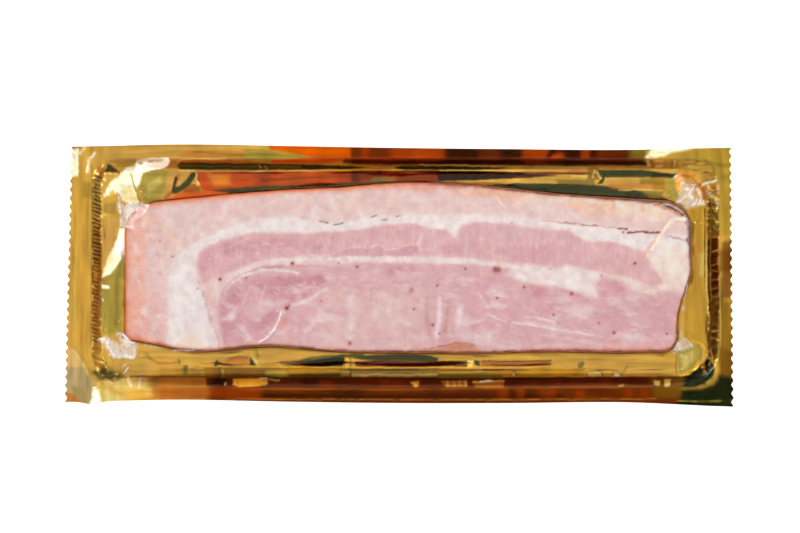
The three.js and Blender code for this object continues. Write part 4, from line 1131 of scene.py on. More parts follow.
# The cut face's own colours, with the painted sheen, highlights and shade of the film's folds over it
MARBLING_AND_FOLD_SHEEN = (
    area(PINK_FAT, 0.9, 14, (118, 362), (118, 215), (148, 208), (172, 240), (178, 256), (168, 292),
        (169, 352)),
    area(ROSY_FAT, 0.75, 26, (118, 362), (122, 285), (164, 290), (166, 345)),
    area(PEACH_FAT, 0.9, 10, (440, 182), (470, 194), (560, 205), (694, 226), (694, 196), (560, 184)),
    area(colour(236, 182, 162), 0.85, 12, (112, 345), (118, 250), (130, 206), (152, 214), (146, 260),
        (146, 290), (150, 356), (120, 356)),
    area(colour(238, 170, 140), 0.5, 10, (124, 350), (126, 300), (134, 300), (140, 340), (200, 346),
        (200, 356)),
    stroke(AMBER_FAT, 0.6, 6, 3, (466, 193), (490, 197), (530, 201)),
    stroke(AMBER_FAT, 0.35, 6, 3, (560, 206), (590, 200), (636, 204), (650, 214)),
    stroke(AMBER_FAT, 0.35, 6, 2, (620, 220), (645, 220), (668, 217)),
    area(colour(234, 166, 134), 0.6, 7, (340, 184), (430, 181), (446, 188), (430, 193), (396, 190),
        (350, 192)),
    area(colour(234, 178, 142), 0.6, 7, (448, 186), (500, 190), (528, 194), (520, 200), (480, 197),
        (450, 194)),
    area(colour(236, 196, 160), 0.6, 9, (560, 199), (610, 203), (614, 216), (580, 214)),
    stroke(colour(222, 150, 104), 0.6, 3, 0.7, (612, 200), (613, 209)),
    stroke(colour(222, 150, 104), 0.5, 3, 0.6, (640, 204), (641, 212)),
    stroke(PINK_FAT, 0.5, 8, 4, (210, 214), (300, 206), (420, 200)),
    area(WHITE_FAT, 1, 5.5, *WHITE_BAND),
    area(LEAN, 1, 5, *UPPER_LEAN),
    area(colour(221, 181, 182), 1, 6, *LOWER_LEAN),
    stroke(WHITE_FAT, 0.8, 3, 1.6, (236, 274), (252, 267), (264, 262), (286, 259.5), (330, 258.3),
        (400, 259.6)),
    stroke(WHITE_FAT, 0.8, 4, 2.4, (340, 258.6), (400, 259.6), (430, 260), (470, 261), (500, 265),
        (526, 269)),
    area(WHITE_FAT, 0.95, 7, *WHITE_PATCH),
    area(colour(237, 224, 212), 0.9, 7, *RIGHT_FAT),
    area(DEEP_LEAN, 0.9, 4, *ROUND_MUSCLE),
    # The round muscle's own fat seams and pale wedge
    stroke(WHITE_FAT, 0.9, 2.4, 1.3, (224, 291), (232, 283), (240, 277.4), (252, 272.4), (266, 269.6),
        (282, 270), (298, 273)),
    stroke(MAUVE, 0.8, 1.6, 0.5, (221, 299), (224, 290), (231, 282), (239, 276.2), (248, 271.6),
        (262, 268), (284, 267)),
    stroke(RED_STREAK, 0.7, 2, 0.8, (262, 267.6), (284, 266.4), (312, 265.6)),
    area(WHITE_FAT, 0.75, 5, (222, 319), (228, 315), (236, 308), (238, 316), (232, 321)),
    area(PALE_LEAN, 0.85, 7, (242, 305), (262, 301), (290, 300), (272, 314), (262, 318), (246, 314)),
    stroke(PALE_LEAN, 0.8, 3, 1.4, (257, 290), (258, 300), (262, 310)),
    stroke(PALE_LEAN, 0.7, 3, 1.3, (296, 291), (311, 287), (324, 284)),
    stroke(WHITE_FAT, 0.7, 3, 1.8, (326, 289), (312, 297.5), (302, 302.5), (290, 307), (282, 312)),
    area(DEEP_LOBE, 0.6, 4, (222, 305), (228, 296), (238, 290), (241, 299), (234, 309), (224, 316)),
    area(DEEP_LOBE, 0.6, 4, (252, 282), (280, 276), (304, 279), (306, 286), (290, 291), (268, 294)),
    area(DEEP_LOBE, 0.75, 3, (307, 280), (318, 274.6), (327, 275), (326, 282), (314, 287), (307, 284)),
    area(DEEP_LOBE, 0.6, 5, (222, 322), (236, 322), (244, 330), (240, 342), (225, 343)),
    area(DEEP_LOBE, 0.6, 5, (262, 318), (277, 306), (275, 318), (266, 330), (254, 331)),
    stroke(WHITE_FAT, 0.6, 1.6, 0.5, (261, 304), (263, 294), (266, 286)),
    stroke(WHITE_FAT, 0.5, 1.6, 0.5, (243, 306), (246, 296), (252, 287), (262, 281)),
    stroke(WHITE_FAT, 0.5, 1.6, 0.4, (268, 288), (284, 287), (300, 289), (306, 287)),
    stroke(RED_STREAK, 0.7, 5, 2.6, (293, 298), (305, 294)),
    stroke(RED_STREAK, 0.5, 5, 3, (308, 279), (322, 277)),
    stroke(WHITE_FAT, 0.5, 4, 2, (240, 326), (250, 336), (246, 343)),
    area(DEEP_LEAN, 0.5, 5, (226, 324), (240, 322), (240, 340), (227, 341)),
    # Seams through the white band and beside the round muscle
    stroke(MAUVE, 0.75, 1.8, 0.7, (198, 280), (202, 288), (206.5, 300), (209, 310), (213, 322),
        (217.5, 334), (220.5, 350)),
    stroke(PALE_LEAN, 0.5, 2, 0.8, (206, 305), (211, 322), (216, 340)),
    area(PEACH_FAT, 0.8, 12, (180, 336), (200, 334), (206, 350), (176, 350)),
    # This cream line is a painted highlight, under the film's fold at the top left
    stroke(colour(241, 208, 178), 0.85, 3, 1.6, (151, 210), (160, 221), (166, 231), (175, 241),
        (182, 248.5)),
    stroke(WHITE_FAT, 0.6, 6, 2, (168, 218), (172, 224)),
    stroke(ROSY_FAT, 0.6, 8, 3, (152, 214), (162, 222)),
    # The upper lean, with its darker bundles and threads of fat
    area(DEEP_LEAN, 0.75, 8, (199, 256), (208, 250), (214, 262), (208, 276), (203, 283), (200, 268)),
    area(DEEP_LEAN, 0.9, 8, (220, 247), (252, 238.6), (296, 237.4), (302, 247), (250, 252), (222, 259)),
    area(DEEP_LEAN, 0.45, 8, (302, 238), (326, 240), (322, 252), (304, 252)),
    area(DEEP_LEAN, 0.65, 3.4, (344, 250), (356, 248), (368, 250), (368, 255), (350, 255.6), (343, 254)),
    area(DEEP_LEAN, 0.8, 3.4, (370, 249), (377, 246.5), (383, 249), (383, 255), (376, 256.6), (370, 255)),
    area(DEEP_LEAN, 0.9, 3, (388, 251), (400, 250), (409, 246), (416, 247), (418.5, 253), (414, 256.4),
        (396, 256.4), (388, 255)),
    area(DEEP_LEAN, 0.5, 9, (438, 246), (460, 244), (480, 250), (482, 257), (444, 255)),
    area(DEEP_LEAN, 0.45, 10, (500, 250), (540, 244), (570, 252), (560, 264), (506, 261)),
    area(PALE_LEAN, 0.6, 9, (480, 224), (560, 231), (572, 240), (500, 240)),
    stroke(WHITE_FAT, 0.6, 1.8, 0.6, (428.5, 229.5), (421.6, 235.6), (416.8, 242.3), (419, 249.6),
        (432, 250)),
    stroke(WHITE_FAT, 0.5, 1.8, 0.5, (433, 232), (434, 242), (433, 251)),
    stroke(WHITE_FAT, 0.6, 1.8, 0.5, (343, 249), (356, 246.6), (369, 248.4), (377, 245.2), (385, 248.6),
        (385, 255)),
    stroke(WHITE_FAT, 0.7, 1.8, 0.6, (385, 249.6), (400, 248.6), (408, 244.4), (417, 243.6)),
    stroke(WHITE_FAT, 0.6, 2, 0.6, (324.6, 243), (326.6, 249), (330, 255.5)),
    stroke(WHITE_FAT, 0.4, 1.6, 0.5, (262, 245.4), (272, 244.8), (286, 243.4)),
    stroke(WHITE_FAT, 0.45, 1.6, 0.5, (223, 249), (231, 247.6), (240, 243.4), (247, 242.6)),
    stroke(WHITE_FAT, 0.5, 3, 1, (467, 240), (466, 254)),
    # The pale middle of the lower lean, a painted sheen where the film has drawn it into upright folds,
    # with painted highlights and shade along the folds
    area(colour(225, 193, 189), 0.85, 18, (322, 296), (420, 292), (422, 348), (312, 346)),
    stroke(WHITE_FAT, 0.5, 7, 2.5, (326, 306), (315, 322), (303, 336)),
    stroke(WHITE_FAT, 0.6, 7, 2.6, (351.5, 297), (351.5, 328)),
    stroke(WHITE_FAT, 0.35, 6, 2, (390, 304), (390, 330)),
    stroke(colour(204, 162, 156), 0.8, 4, 1.8, (426.5, 297), (427, 320), (430, 336)),
    stroke(colour(242, 228, 236), 0.85, 4, 2.2, (440, 299), (438.5, 318), (437, 336)),
    stroke(colour(204, 146, 146), 0.8, 4, 1.8, (448.5, 303), (447, 318), (445, 331)),
    stroke(colour(242, 228, 236), 0.7, 6, 2.8, (460, 307), (457.5, 327)),
    stroke(MAUVE, 0.4, 6, 2, (365, 281), (376, 283)),
    # The lower lean's right half, with fine slanting threads of fat
    area(colour(220, 174, 180), 0.8, 16, (466, 282), (500, 276), (512, 296), (520, 330), (470, 326)),
    area(colour(218, 174, 176), 0.8, 16, (520, 290), (690, 300), (690, 335), (530, 340)),
    area(RED_STREAK, 0.75, 8, (531, 288), (541, 286), (546, 291), (540, 297), (532, 296)),
    area(DEEP_LEAN, 0.7, 10, (596, 284), (612, 278), (628, 284), (634, 293), (612, 295), (598, 294)),
    stroke(RED_STREAK, 0.6, 5, 2, (618, 290), (632, 294)),
    area(RED_STREAK, 0.55, 7, (376, 265), (420, 264.5), (424, 271), (390, 273)),
    stroke(LEAN, 0.6, 12, 5, (330, 276), (360, 278), (400, 284)),
    stroke(WHITE_FAT, 0.6, 2.4, 0.8, (476.6, 293.6), (482, 299), (487, 306.6)),
    stroke(WHITE_FAT, 0.6, 3, 1, (496, 295), (508, 296.4)),
    stroke(WHITE_FAT, 0.55, 3, 1.2, (493, 304), (505, 306)),
    stroke(WHITE_FAT, 0.7, 2.4, 0.9, (487.6, 313), (496, 318), (506, 321)),
    stroke(WHITE_FAT, 0.5, 4, 1.6, (464, 324), (474, 322), (484, 319)),
    stroke(WHITE_FAT, 0.7, 2.6, 1.1, (524, 317), (538, 318), (554, 321.4)),
    stroke(WHITE_FAT, 0.8, 2.6, 1.2, (512, 321.6), (534, 324.4), (557, 329.4), (579, 332.6),
        (592, 334.6)),
    stroke(WHITE_FAT, 0.4, 2.6, 0.9, (540, 334), (560, 338), (590, 341)),
    area(WHITE_FAT, 0.6, 10, (566, 306), (586, 304), (592, 312), (580, 319), (567, 317)),
    area(WHITE_FAT, 0.5, 8, (604, 298), (618, 297), (621, 303), (610, 306)),
    area(WHITE_FAT, 0.45, 10, (618, 333), (640, 332), (646, 339), (624, 342)),
    area(WHITE_FAT, 0.4, 10, (462, 332), (490, 332), (500, 345), (464, 345)),
    area(RED_STREAK, 0.5, 5, (512, 334), (530, 337), (530, 341), (514, 338)),
    stroke(colour(222, 146, 100), 0.7, 6, 2, (610, 342), (616, 342)),
    area(colour(222, 150, 130), 0.7, 8, (281, 318), (287, 318), (288, 330), (282, 330)),
    stroke(ROSY_FAT, 0.8, 8, 2.4, (592, 348), (640, 349), (674, 345)),
    # Burnt spots and a loose flap along the rim
    stroke(SMOKED_BROWN, 0.9, 1.4, 0.9, (446, 186.4), (456, 187.4), (466, 187.6)),
    stroke(SMOKED_BROWN, 0.95, 1.4, 1.1, (527, 191.4), (548, 193), (570, 194.4), (589, 196.4)),
    stroke(SMOKED_ORANGE, 0.8, 3, 1.8, (592, 197.6), (602, 198.6), (612, 199.8)),
    stroke(SMOKED_BROWN, 0.95, 1.6, 1, (600, 197.6), (634, 200.6), (656, 203.4), (668, 206.6)),
    stroke(SMOKED_BROWN, 1, 1.6, 1.2, (660, 204.4), (672, 209), (682, 215.4)),
    stroke(colour(206, 124, 66), 0.9, 3, 1.6, (654, 205.6), (664, 208.6), (674, 213), (680, 218)),
    stroke(SMOKED_BROWN, 1, 1.6, 1, (683, 216), (686.4, 226), (687.4, 236), (685.6, 240), (688.6, 246)),
    stroke(SMOKED_RED, 0.7, 2, 0.8, (689, 250), (688, 272)),
    stroke(SMOKED_BROWN, 0.85, 1.6, 0.9, (684, 286), (681, 300), (679, 312)),
    area(colour(196, 122, 74), 0.85, 2, (424, 349), (440, 346), (459, 341.5), (470, 343), (482, 349),
        (470, 353), (430, 353)),
    stroke(SMOKED_RED, 0.8, 1.4, 0.5, (424, 348.6), (441, 345.6), (459, 341.2), (471, 342.8),
        (483, 348.6)),
    stroke(SMOKED_BROWN, 0.8, 1.6, 0.9, (566, 349), (577, 349.4)),
    # The film's fold at the top right corner, with the light and shade it throws on the fat
    stroke(colour(226, 176, 150), 0.7, 2.4, 3, (684, 219), (671, 219), (664, 227), (656, 239),
        (648, 250)),
    stroke(colour(252, 240, 222), 1, 2, 1.8, (684, 219), (672, 219), (665, 227), (657, 239), (650, 250)),
    # Slits along the upper fat, and small clots
    stroke(SLIT, 0.85, 1.2, 0.6, (333.5, 224.8), (338, 224.3), (342.5, 223)),
    stroke(SLIT, 0.8, 1.3, 0.6, (320, 222), (327.5, 223.2)),
    stroke(SLIT, 0.9, 1.2, 0.55, (372, 217), (377, 215.6)),
    stroke(SLIT, 0.8, 1.3, 0.6, (383, 220.6), (386.6, 220.2)),
    stroke(SLIT, 0.9, 1.2, 0.55, (397, 215.6), (399.4, 215.2)),
    stroke(BLOODSHOT, 0.5, 2, 0.9, (540, 220), (566, 223), (598, 226), (627, 230)),
    stroke(BLOODSHOT, 0.7, 2, 1.1, (627, 232.4), (638, 232), (650, 232.6), (658, 233.6)),
    stroke(BLOODSHOT, 0.5, 2, 0.8, (666, 236), (680, 239.6), (686, 241)),
    stroke(CLOT, 0.6, 1.2, 0.4, (557, 222.6), (566, 223), (577, 223.4)),
    stroke(CLOT, 0.65, 1.2, 0.45, (579, 224), (588, 225), (598, 226)),
    stroke(CLOT, 1, 1.3, 0.75, (616, 228.4), (627, 229.4)),
    stroke(CLOT, 1, 1.3, 0.755, (627, 232.6), (638, 232), (650, 232.6), (657.4, 233.4)),
    stroke(CLOT, 0.4, 1.4, 0.5, (668, 236.4), (680, 239.4)),
)
# Short threads of fat and of darker meat, strewn over the lean along its grain: left, right, top and
# bottom in photo pixels, how many, their slant and their length
GRAIN = (
    (206, 340, 239, 262, 90, 0.3, 5),
    (330, 650, 236, 262, 90, 1.45, 4),
    (228, 322, 280, 338, 90, 0.6, 5),
    (470, 676, 286, 342, 110, 0.25, 8),
    (330, 470, 268, 292, 40, 0.1, 7),
    (135, 165, 230, 335, 50, 0.8, 5),
)
strewn = random.Random(12)
FLECKS = []
for left, right, top, bottom, count, slant, length in GRAIN:
    for i in range(count):
        x, y = strewn.uniform(left, right), strewn.uniform(top, bottom)
        angle, half = slant + strewn.gauss(0, 0.25), length * strewn.uniform(0.3, 0.7)
        run, rise = half * cos(angle), half * sin(angle)
        shade = WHITE_FAT if i % 5 < 2 else RED_STREAK
        strength, thick = strewn.uniform(0.3, 0.7), strewn.uniform(0.2, 0.6)
        FLECKS.append(stroke(shade, strength, 1.6, thick, (x - run, y - rise), (x + run, y + rise)))

# Clouds in the meat: (where, colour, strength, size in millimetres, stretch along x and y, slant)
CLOUDS = (
    ("fat", WHITE_FAT, 0.5, 3.2, (1, 1), 0),
    ("fat", ROSY_FAT, 0.35, 4.5, (1, 1), 0.4),
    ("upper", DEEP_LEAN, 0.35, 5, (0.35, 1.4), 0),
    ("upper", PALE_LEAN, 0.4, 4, (0.3, 1.2), 0.1),
    ("lower", WHITE_FAT, 0.36, 3.6, (2.2, 0.7), -0.22),
    ("lower", DEEP_LEAN, 0.3, 5, (1.8, 1), -0.25),
    ("band", PINK_FAT, 0.25, 3, (0.6, 1.4), 0),
)
CLOTS = (
    # centre in photo pixels, radius in pixels, strength
    (220.9, 279.2, 1.3, 1), (293, 263.4, 1.3, 1), (287.3, 308, 1.7, 1), (290, 305.6, 1, 0.6),
    (357.2, 266.7, 1.2, 0.7), (495.3, 269.4, 2.4, 0.8), (498.5, 270, 1.8, 0.6), (465, 268.8, 1.3, 0.6),
    (436.9, 285.4, 1, 0.8), (411.5, 289.8, 2.2, 0.35), (413.9, 308.9, 1.1, 0.6), (432.6, 324.7, 1.1, 0.8),
    (439.3, 333.3, 1, 0.6), (496.7, 297.9, 1.1, 0.8), (523.5, 286.9, 1.2, 0.7), (570.7, 293.5, 1.4, 0.8),
    (552.8, 314.6, 1, 0.8), (600.5, 276, 0.9, 0.5), (613, 332.5, 1.2, 0.9), (597.8, 322.7, 1, 0.6),
    (665.6, 333.6, 1, 0.7), (633.6, 263.3, 1.2, 0.9), (622.2, 232.4, 0.9, 0.8), (247.2, 277.8, 0.8, 0.8),
    (198.9, 288.3, 0.8, 0.5), (339, 263.3, 0.9, 0.5), (173.8, 256.6, 0.8, 0.7), (161, 241, 0.8, 0.6),
    (321.5, 301, 0.9, 0.5), (350, 343, 1.6, 0.7), (511, 223, 0.8, 0.4), (549, 268.6, 0.8, 0.4),
)

mesh = slab.data
places = vertex_places(mesh)
x, y, z = places.T
shades = painted(places, OUTER_FAT, (*MARBLING_AND_FOLD_SHEEN, *FLECKS), wander=0.4)
upper_lean, lower_lean, band = (
    smooth(-0.4, 0.8, inside(places, from_photo(zone))) for zone in (UPPER_LEAN, LOWER_LEAN, WHITE_BAND)
)
zones = {"upper": upper_lean, "lower": lower_lean, "band": band}
zones["fat"] = 1 - np.maximum(np.maximum(upper_lean, lower_lean), band)
for seed, (zone, shade, strength, size, (wide, high), slant) in enumerate(CLOUDS):
    lengthwise = (x * cos(slant) + y * sin(slant)) / wide
    crosswise = (y * cos(slant) - x * sin(slant)) / high
    turned = np.stack((lengthwise, crosswise), 1)
    cloud = ripple(turned, size, 40 + seed) + 0.4 * ripple(turned, size / 3, 50 + seed)
    shades = laid(shades, shade, strength * zones[zone] * smooth(0, 0.55, cloud))
for px, py, radius, strength in CLOTS:
    cx, cy = from_photo((px, py))
    away = np.hypot(x - cx, y - cy) / (radius * MM_PER_PX)
    shades = laid(shades, BLOODSHOT, 0.6 * strength * np.exp(-((away / 1.9) ** 4)))
    shades = laid(shades, CLOT, strength * np.exp(-((away / 1.1) ** 4)))

# How far in from the rim the smoke's stain reaches, in millimetres, at even steps from the left end
RIND_STAIN = (2.2, 2, 1.8, 1.7, 1.6, 1.6, 1.5, 1.1, 0.9, 0.8)
BELLY_STAIN = (2.2, 1.4, 1.5, 1.2, 1.2, 1.6, 1.2, 1.4, 2.2, 1.6)
LEFT_STAIN, RIGHT_STAIN = 1.8, 0.8

depth = inside(places, slab_ring(0.1, 120, 40))
left, right, bottom, top, _ = SLAB
share = (x - left) / (right - left)
patchy = np.clip(0.5 + 0.6 * grain_in(places, 4, 21) + 0.4 * grain_in(places, 1.4, 22), 0, 1)
reach = np.where(y > 0, along(RIND_STAIN, share), along(BELLY_STAIN, share))
at_left = (1 - smooth(left, left + 7, x)) * smooth(1, 4, abs(y - top))
at_right = smooth(right - 8, right - 3, x)
reach += (LEFT_STAIN - reach) * at_left + (RIGHT_STAIN - reach) * at_right

# The smoke's stain is amber at the left and over the rind side, and browner towards the right. It is
# a pink blush, then the stain, then burnt spots at the very rim, and the skin all down the outside.
amber = np.clip(1 - smooth(left, left + 30, x) + smooth(0, 10, y) * (1 - smooth(-15, 50, x)), 0, 1)
amber = amber[:, None]
orange = np.array(SMOKED_ORANGE[:3]) * amber + np.array(SMOKED_RED[:3]) * (1 - amber)
blush = 1 - smooth(0, 1, depth / (1.5 * reach * (0.5 + patchy)))
shades = laid(shades, SALMON, 0.75 * blush)
stain = 1 - smooth(0, 1, depth / (0.7 * reach * (0.5 + patchy)))
shades = laid(shades, orange, stain * (1 - 0.3 * patchy))
burnt = smooth(50, 75, x) * smooth(0, 12, y)
char = (1 - smooth(0, 0.8 + 0.6 * burnt, depth)) * (1 - amber[:, 0] * 0.8)
shades = laid(shades, SMOKED_BROWN, char * np.maximum(smooth(0.3, 0.7, patchy), 0.85 * burnt))
outside = smooth(0.8, 3, SLAB_TOP - z)
skin = np.array(SMOKED_SKIN[:3]) * (1 - amber) + 0.8 * orange * amber
paint_mesh(mesh, laid(shades, skin, outside))
mask_mesh(mesh, "lean", (0.75 * upper_lean + 0.3 * lower_lean) * (1 - outside))
mask_mesh(mesh, "bark", outside * (1 - 0.5 * amber[:, 0]))

# Fibre stands upright in the lean, a fine mottle lies over all, and the bark has darker blotches
FIBRE_STRETCH = (1100, 170, 170)
cured_meat, tree = new_material("cured_meat")
spot = node(tree, "ShaderNodeTexCoord").outputs["Object"]
bark = kept(tree, "bark")
upright = node(tree, "ShaderNodeMapping", {"Vector": spot, "Scale": FIBRE_STRETCH}).outputs["Vector"]
fibre = noise_at(tree, upright, 1, 3)
fibre_shade = ramp(tree, fibre, ((0.3, colour(244, 236, 238)), (0.7, colour(255, 255, 255))))
mottle_shade = ramp(tree, noise_at(tree, spot, 330, 4), (
    (0.32, (0.93, 0.86, 0.88, 1)), (0.68, (1.05, 1.07, 1.07, 1)),
))
burnt_shade = ramp(tree, noise_at(tree, spot, 170, 5), (
    (0.36, (0.34, 0.24, 0.2, 1)), (0.5, (0.8, 0.74, 0.7, 1)), (0.62, (1.15, 1.1, 1.05, 1)),
))
with_fibre = multiplied(tree, kept(tree, "paint", "Color"), fibre_shade, kept(tree, "lean"))
with_mottle = multiplied(tree, with_fibre, mottle_shade)
relief = node(tree, "ShaderNodeMath", {0: fibre, 1: noise_at(tree, spot, 900, 2)}, operation="ADD")
bump = node(tree, "ShaderNodeBump", {
    "Height": relief.outputs["Value"], "Strength": 0.35, "Distance": 0.0003,
})
surface = node(tree, "ShaderNodeBsdfPrincipled", {
    "Base Color": multiplied(tree, with_mottle, burnt_shade, bark),
    "Roughness": reached(tree, bark, to_min=0.42, to_max=0.6),
    "Normal": bump.outputs["Normal"],
    "Subsurface Weight": 0.25,
    "Subsurface Radius": (1, 0.5, 0.4),
    "Subsurface Scale": 0.0012,
})
put_on(mesh, cured_meat, surface.outputs["BSDF"])
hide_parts("bacon_slab")


# CLEAR LID
# A clear film sealed to the flange, drawn tight over the slab by the vacuum. It creases over the face,
# and it pinches into small stiff ears at the slab's four corners, where there is more film than room.
LID_LONG_STEPS, LID_SHORT_STEPS = 400, 120
LID_EAR_REACH = 4.2
LID_STEPS = [*np.linspace(0, 0.9, 7), 1, 1.15, 1.35, 1.55, 1.75, 1.95, *np.linspace(2.1, 2.95, 10)]
# Down the slab's side: heights, and how far the lid stands off
LID_SIDE = ((11.7, 0.46), (13, 0.42), (15, 0.4), (18, 0.4), (21, 0.4), (23.4, 0.4), (25, 0.4))
FOLDS = (
    # height and half width in millimetres, then places in photo pixels
    (0.5, 0.55, ((280, 312), (278, 321), (273, 331), (266, 338), (259, 342.6))),
    (0.3, 0.9, ((684, 219), (671, 219), (665, 227), (657, 239), (649, 250))),
    (0.25, 0.6, ((151, 210), (164, 227), (175, 241), (182, 248))),
    (0.22, 0.8, ((440, 299), (438, 318), (437, 336))),
    (0.2, 0.8, ((460, 307), (457, 327))),
    (0.15, 0.9, ((352, 297), (351, 330))),
    (0.12, 0.8, ((326, 306), (303, 336))),
)
# The slab's corners, where the ears stand, in photo pixels
EARS = ((133, 212), (123, 343), (690, 204), (680, 347))

# Film whitened by its creases, and painted highlights along the ears' folds, by the slab's edges and on
# the crescent by the round muscle, in the form of the coats of paint above
WHITE = (1, 1, 1)
CREASES_AND_GLINTS = (
    area(WHITE, 0.36, 3, (118, 208), (133, 203), (151, 206), (146, 214), (136, 222), (134, 229),
        (119, 227), (120, 216)),
    stroke(WHITE, 0.9, 1.6, 0.5, (119, 190), (119, 207), (133, 203), (150, 206), (144, 215)),
    stroke(WHITE, 0.9, 1.6, 0.5, (120, 210), (121, 226), (134, 228)),
    stroke(WHITE, 0.8, 1.6, 0.4, (126, 222), (134, 210), (143, 208)),
    stroke(WHITE, 0.7, 1.6, 0.4, (119, 193), (126, 199), (132, 204)),
    area(WHITE, 0.5, 3, (99, 340), (107, 337), (120, 345), (126, 337), (136, 344), (134, 357),
        (113, 357), (106, 348)),
    stroke(WHITE, 1, 1.8, 0.9, (99, 339), (105, 338), (109, 350), (114, 357), (134, 357), (135, 344),
        (125, 335), (117, 333)),
    stroke(WHITE, 0.9, 1.6, 0.7, (117, 333), (122, 341), (130, 346)),
    stroke(WHITE, 0.7, 1.6, 0.4, (120, 362), (127, 368), (124, 374)),
    stroke(WHITE, 0.9, 1.8, 0.7, (675, 175), (688, 189), (691, 197), (704, 204), (692, 204)),
    stroke(WHITE, 0.8, 1.8, 0.6, (677, 203), (688, 194), (696, 184), (703, 203)),
    area(WHITE, 0.3, 4, (681, 180), (694, 186), (696, 208), (684, 208), (678, 200)),
    stroke(WHITE, 0.6, 1.6, 0.4, (703, 184), (716, 180), (719, 190)),
    stroke(WHITE, 0.5, 1.6, 0.4, (706, 190), (716, 198), (719, 206)),
    area(WHITE, 0.3, 2, (672, 350), (676, 342), (684, 337), (694, 345), (684, 351)),
    stroke(WHITE, 0.7, 1.4, 0.4, (680, 336), (688, 341), (694, 346), (684, 347), (676, 350)),
    stroke(WHITE, 0.6, 1.4, 0.4, (673, 352), (680, 356), (688, 358)),
    stroke(WHITE, 0.5, 1.4, 0.35, (686, 284), (684, 300), (683, 324), (681, 338)),
    stroke(WHITE, 0.6, 1.4, 0.35, (135, 343.6), (150, 345.6), (168, 350), (196, 350.6)),
    stroke(WHITE, 0.75, 1.8, 0.7, (281, 313), (279, 321), (274, 330), (267, 337.6), (260, 342)),
    stroke(WHITE, 0.5, 2, 0.6, (497, 197), (500, 203), (504, 208)),
)


def ear_cover(points, reach=9):
    """How much of an ear of film there is at flat points, from 0 to 1."""
    cover = np.zeros(len(points))
    for place in EARS:
        away = np.hypot(*(points[:, :2] - from_photo(place)).T)
        cover = np.maximum(cover, 1 - smooth(reach * 0.25, reach, away))
    return cover


def folds_height(points):
    """How far the lid's creases over the cut face stand up."""
    rise = np.zeros(len(points))
    for high, half_width, line in FOLDS:
        away = to_line(points, from_photo(line)) / half_width
        rise = np.maximum(rise, high * np.exp(-(away ** 2)))
    return rise


def crumpled(ring, amount):
    """Sharp small creases, only where the ears are."""
    ridges = 1 - 2 * abs(ripple(ring, 2.3, 31)) - 0.8 * abs(ripple(ring, 1.2, 32))
    return amount * ear_cover(ring) * ridges


form = bmesh.new()
lid_steps = LID_LONG_STEPS, LID_SHORT_STEPS
inset = slab_ring(-FACE_INSET, *lid_steps)
rim = coons_grid(form, inset, *lid_steps)
face = np.array([vertex.co[:] for vertex in form.verts])
lift = face_height(*face[:, :2].T) + GAP + folds_height(face)
for vertex, z in zip(form.verts, lift):
    vertex.co.z = z
rings = []
for out, drop in ((-0.75, 0.02), (-0.1, -0.22), (0.35, -0.75)):
    flat = slab_ring(out, *lid_steps)
    rings.append(level_ring(flat, face_height(*flat.T) + GAP + drop))
side = slab_ring(0, *lid_steps)
away = outwards(inset, side)
for z, stand_off in reversed(LID_SIDE):
    low = (SLAB_TOP - z) / (SLAB_TOP - FOOT_HEIGHT)
    ear = ear_cover(side, 5) * LID_EAR_REACH * low ** 0.7
    flat = side + away * (np.interp(z, SIDE_HEIGHTS, SIDE_OUT) + stand_off + ear)[:, None]
    rings.append(level_ring(flat, z + crumpled(flat, 0.35)))
for ring in reversed(across_rings(LID_STEPS, *lid_steps)):
    ring[:, 2] += GAP + np.maximum(0, crumpled(ring, 0.9))
    rings.append(ring)
extrude_rings(form, rim, rings)
bmesh.ops.recalc_face_normals(form, faces=form.faces)
lid = mesh_object("film_lid", form)
mesh = lid.data
places = vertex_places(mesh)
# Where the film whitens at its creases, and where highlights are painted on it
mask_mesh(mesh, "crease_and_glint", painted(places, (0, 0, 0), CREASES_AND_GLINTS)[:, 0])
in_shoulder = inside(places, rounded_ring(SHOULDER, 40, 20))
to_rim = inside(places, slab_ring(0, 120, 40))
mask_mesh(mesh, "crumple", ear_cover(places, 11) * (1 - smooth(-0.8, 0, to_rim)))
snug = smooth(FOOT_HEIGHT + 0.4, FOOT_HEIGHT + 1, places[:, 2]) * (1 - smooth(0.6, 2, to_rim))
mask_mesh(mesh, "sealed", np.maximum(1 - smooth(-0.6, 0.6, in_shoulder), snug * in_shoulder.clip(0, 1)))
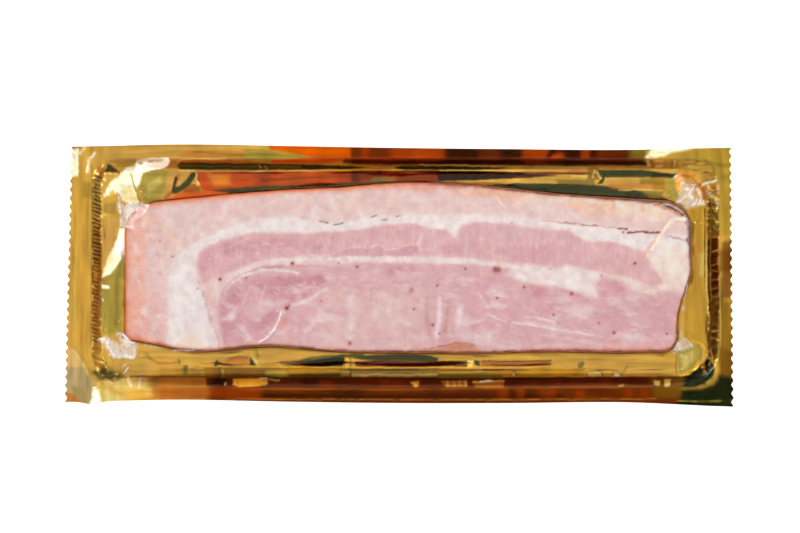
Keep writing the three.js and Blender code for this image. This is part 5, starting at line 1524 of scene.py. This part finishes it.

# Clear where it is tight, milk-white where it creases or carries painted highlights, and faceted in the
# ears.
# The milk-white film also glows a little, as painted light. Where it is sealed or snug it has no gap
# behind it, so it mirrors less.
FACET_RISE = 6.0
clear_film, tree = new_material("clear_film")
spot = node(tree, "ShaderNodeTexCoord").outputs["Object"]
facets = node(tree, "ShaderNodeTexVoronoi", {"Vector": spot, "Scale": 620}, feature="DISTANCE_TO_EDGE")
sharp = node(tree, "ShaderNodeMath", {
    0: facets.outputs["Distance"], 1: kept(tree, "crumple"),
}, operation="MULTIPLY")
relief = node(tree, "ShaderNodeMath", {
    0: sharp.outputs["Value"], 1: FACET_RISE, 2: noise_at(tree, spot, 70, 2),
}, operation="MULTIPLY_ADD")
bump = node(tree, "ShaderNodeBump", {
    "Height": relief.outputs["Value"], "Strength": 0.5, "Distance": 0.0005,
}).outputs["Normal"]
gloss = node(tree, "ShaderNodeBsdfGlossy", {"Color": (1, 1, 1, 1), "Roughness": 0.05, "Normal": bump})
clear = node(tree, "ShaderNodeBsdfTransparent", {"Color": (0.985, 0.985, 0.98, 1)})
fresnel = node(tree, "ShaderNodeFresnel", {"IOR": 1.3, "Normal": bump}).outputs["Fac"]
loose = reached(tree, kept(tree, "sealed"), to_min=1, to_max=0.2)
mirrored = node(tree, "ShaderNodeMath", {0: fresnel, 1: loose}, operation="MULTIPLY")
film = node(tree, "ShaderNodeMixShader", {
    "Fac": mirrored.outputs["Value"], 1: clear.outputs["BSDF"], 2: gloss.outputs["BSDF"],
})
patches = reached(tree, noise_at(tree, spot, 700, 2), from_min=0.35, from_max=0.6, to_min=0.6)
haze_and_glint = node(tree, "ShaderNodeMath", {0: kept(tree, "crease_and_glint"), 1: patches}, operation="MULTIPLY")
# A slight glow, as painted light, on the milk-white film
milky_glow = node(tree, "ShaderNodeBsdfPrincipled", {
    "Base Color": (1, 0.98, 0.96, 1),
    "Roughness": 0.6,
    "Emission Color": (1, 0.96, 0.92, 1),
    "Emission Strength": 0.3,
})
surface = node(tree, "ShaderNodeMixShader", {
    "Fac": haze_and_glint.outputs["Value"], 1: film.outputs["Shader"], 2: milky_glow.outputs["BSDF"],
})
put_on(mesh, clear_film, surface.outputs["Shader"])
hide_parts("clear_lid")
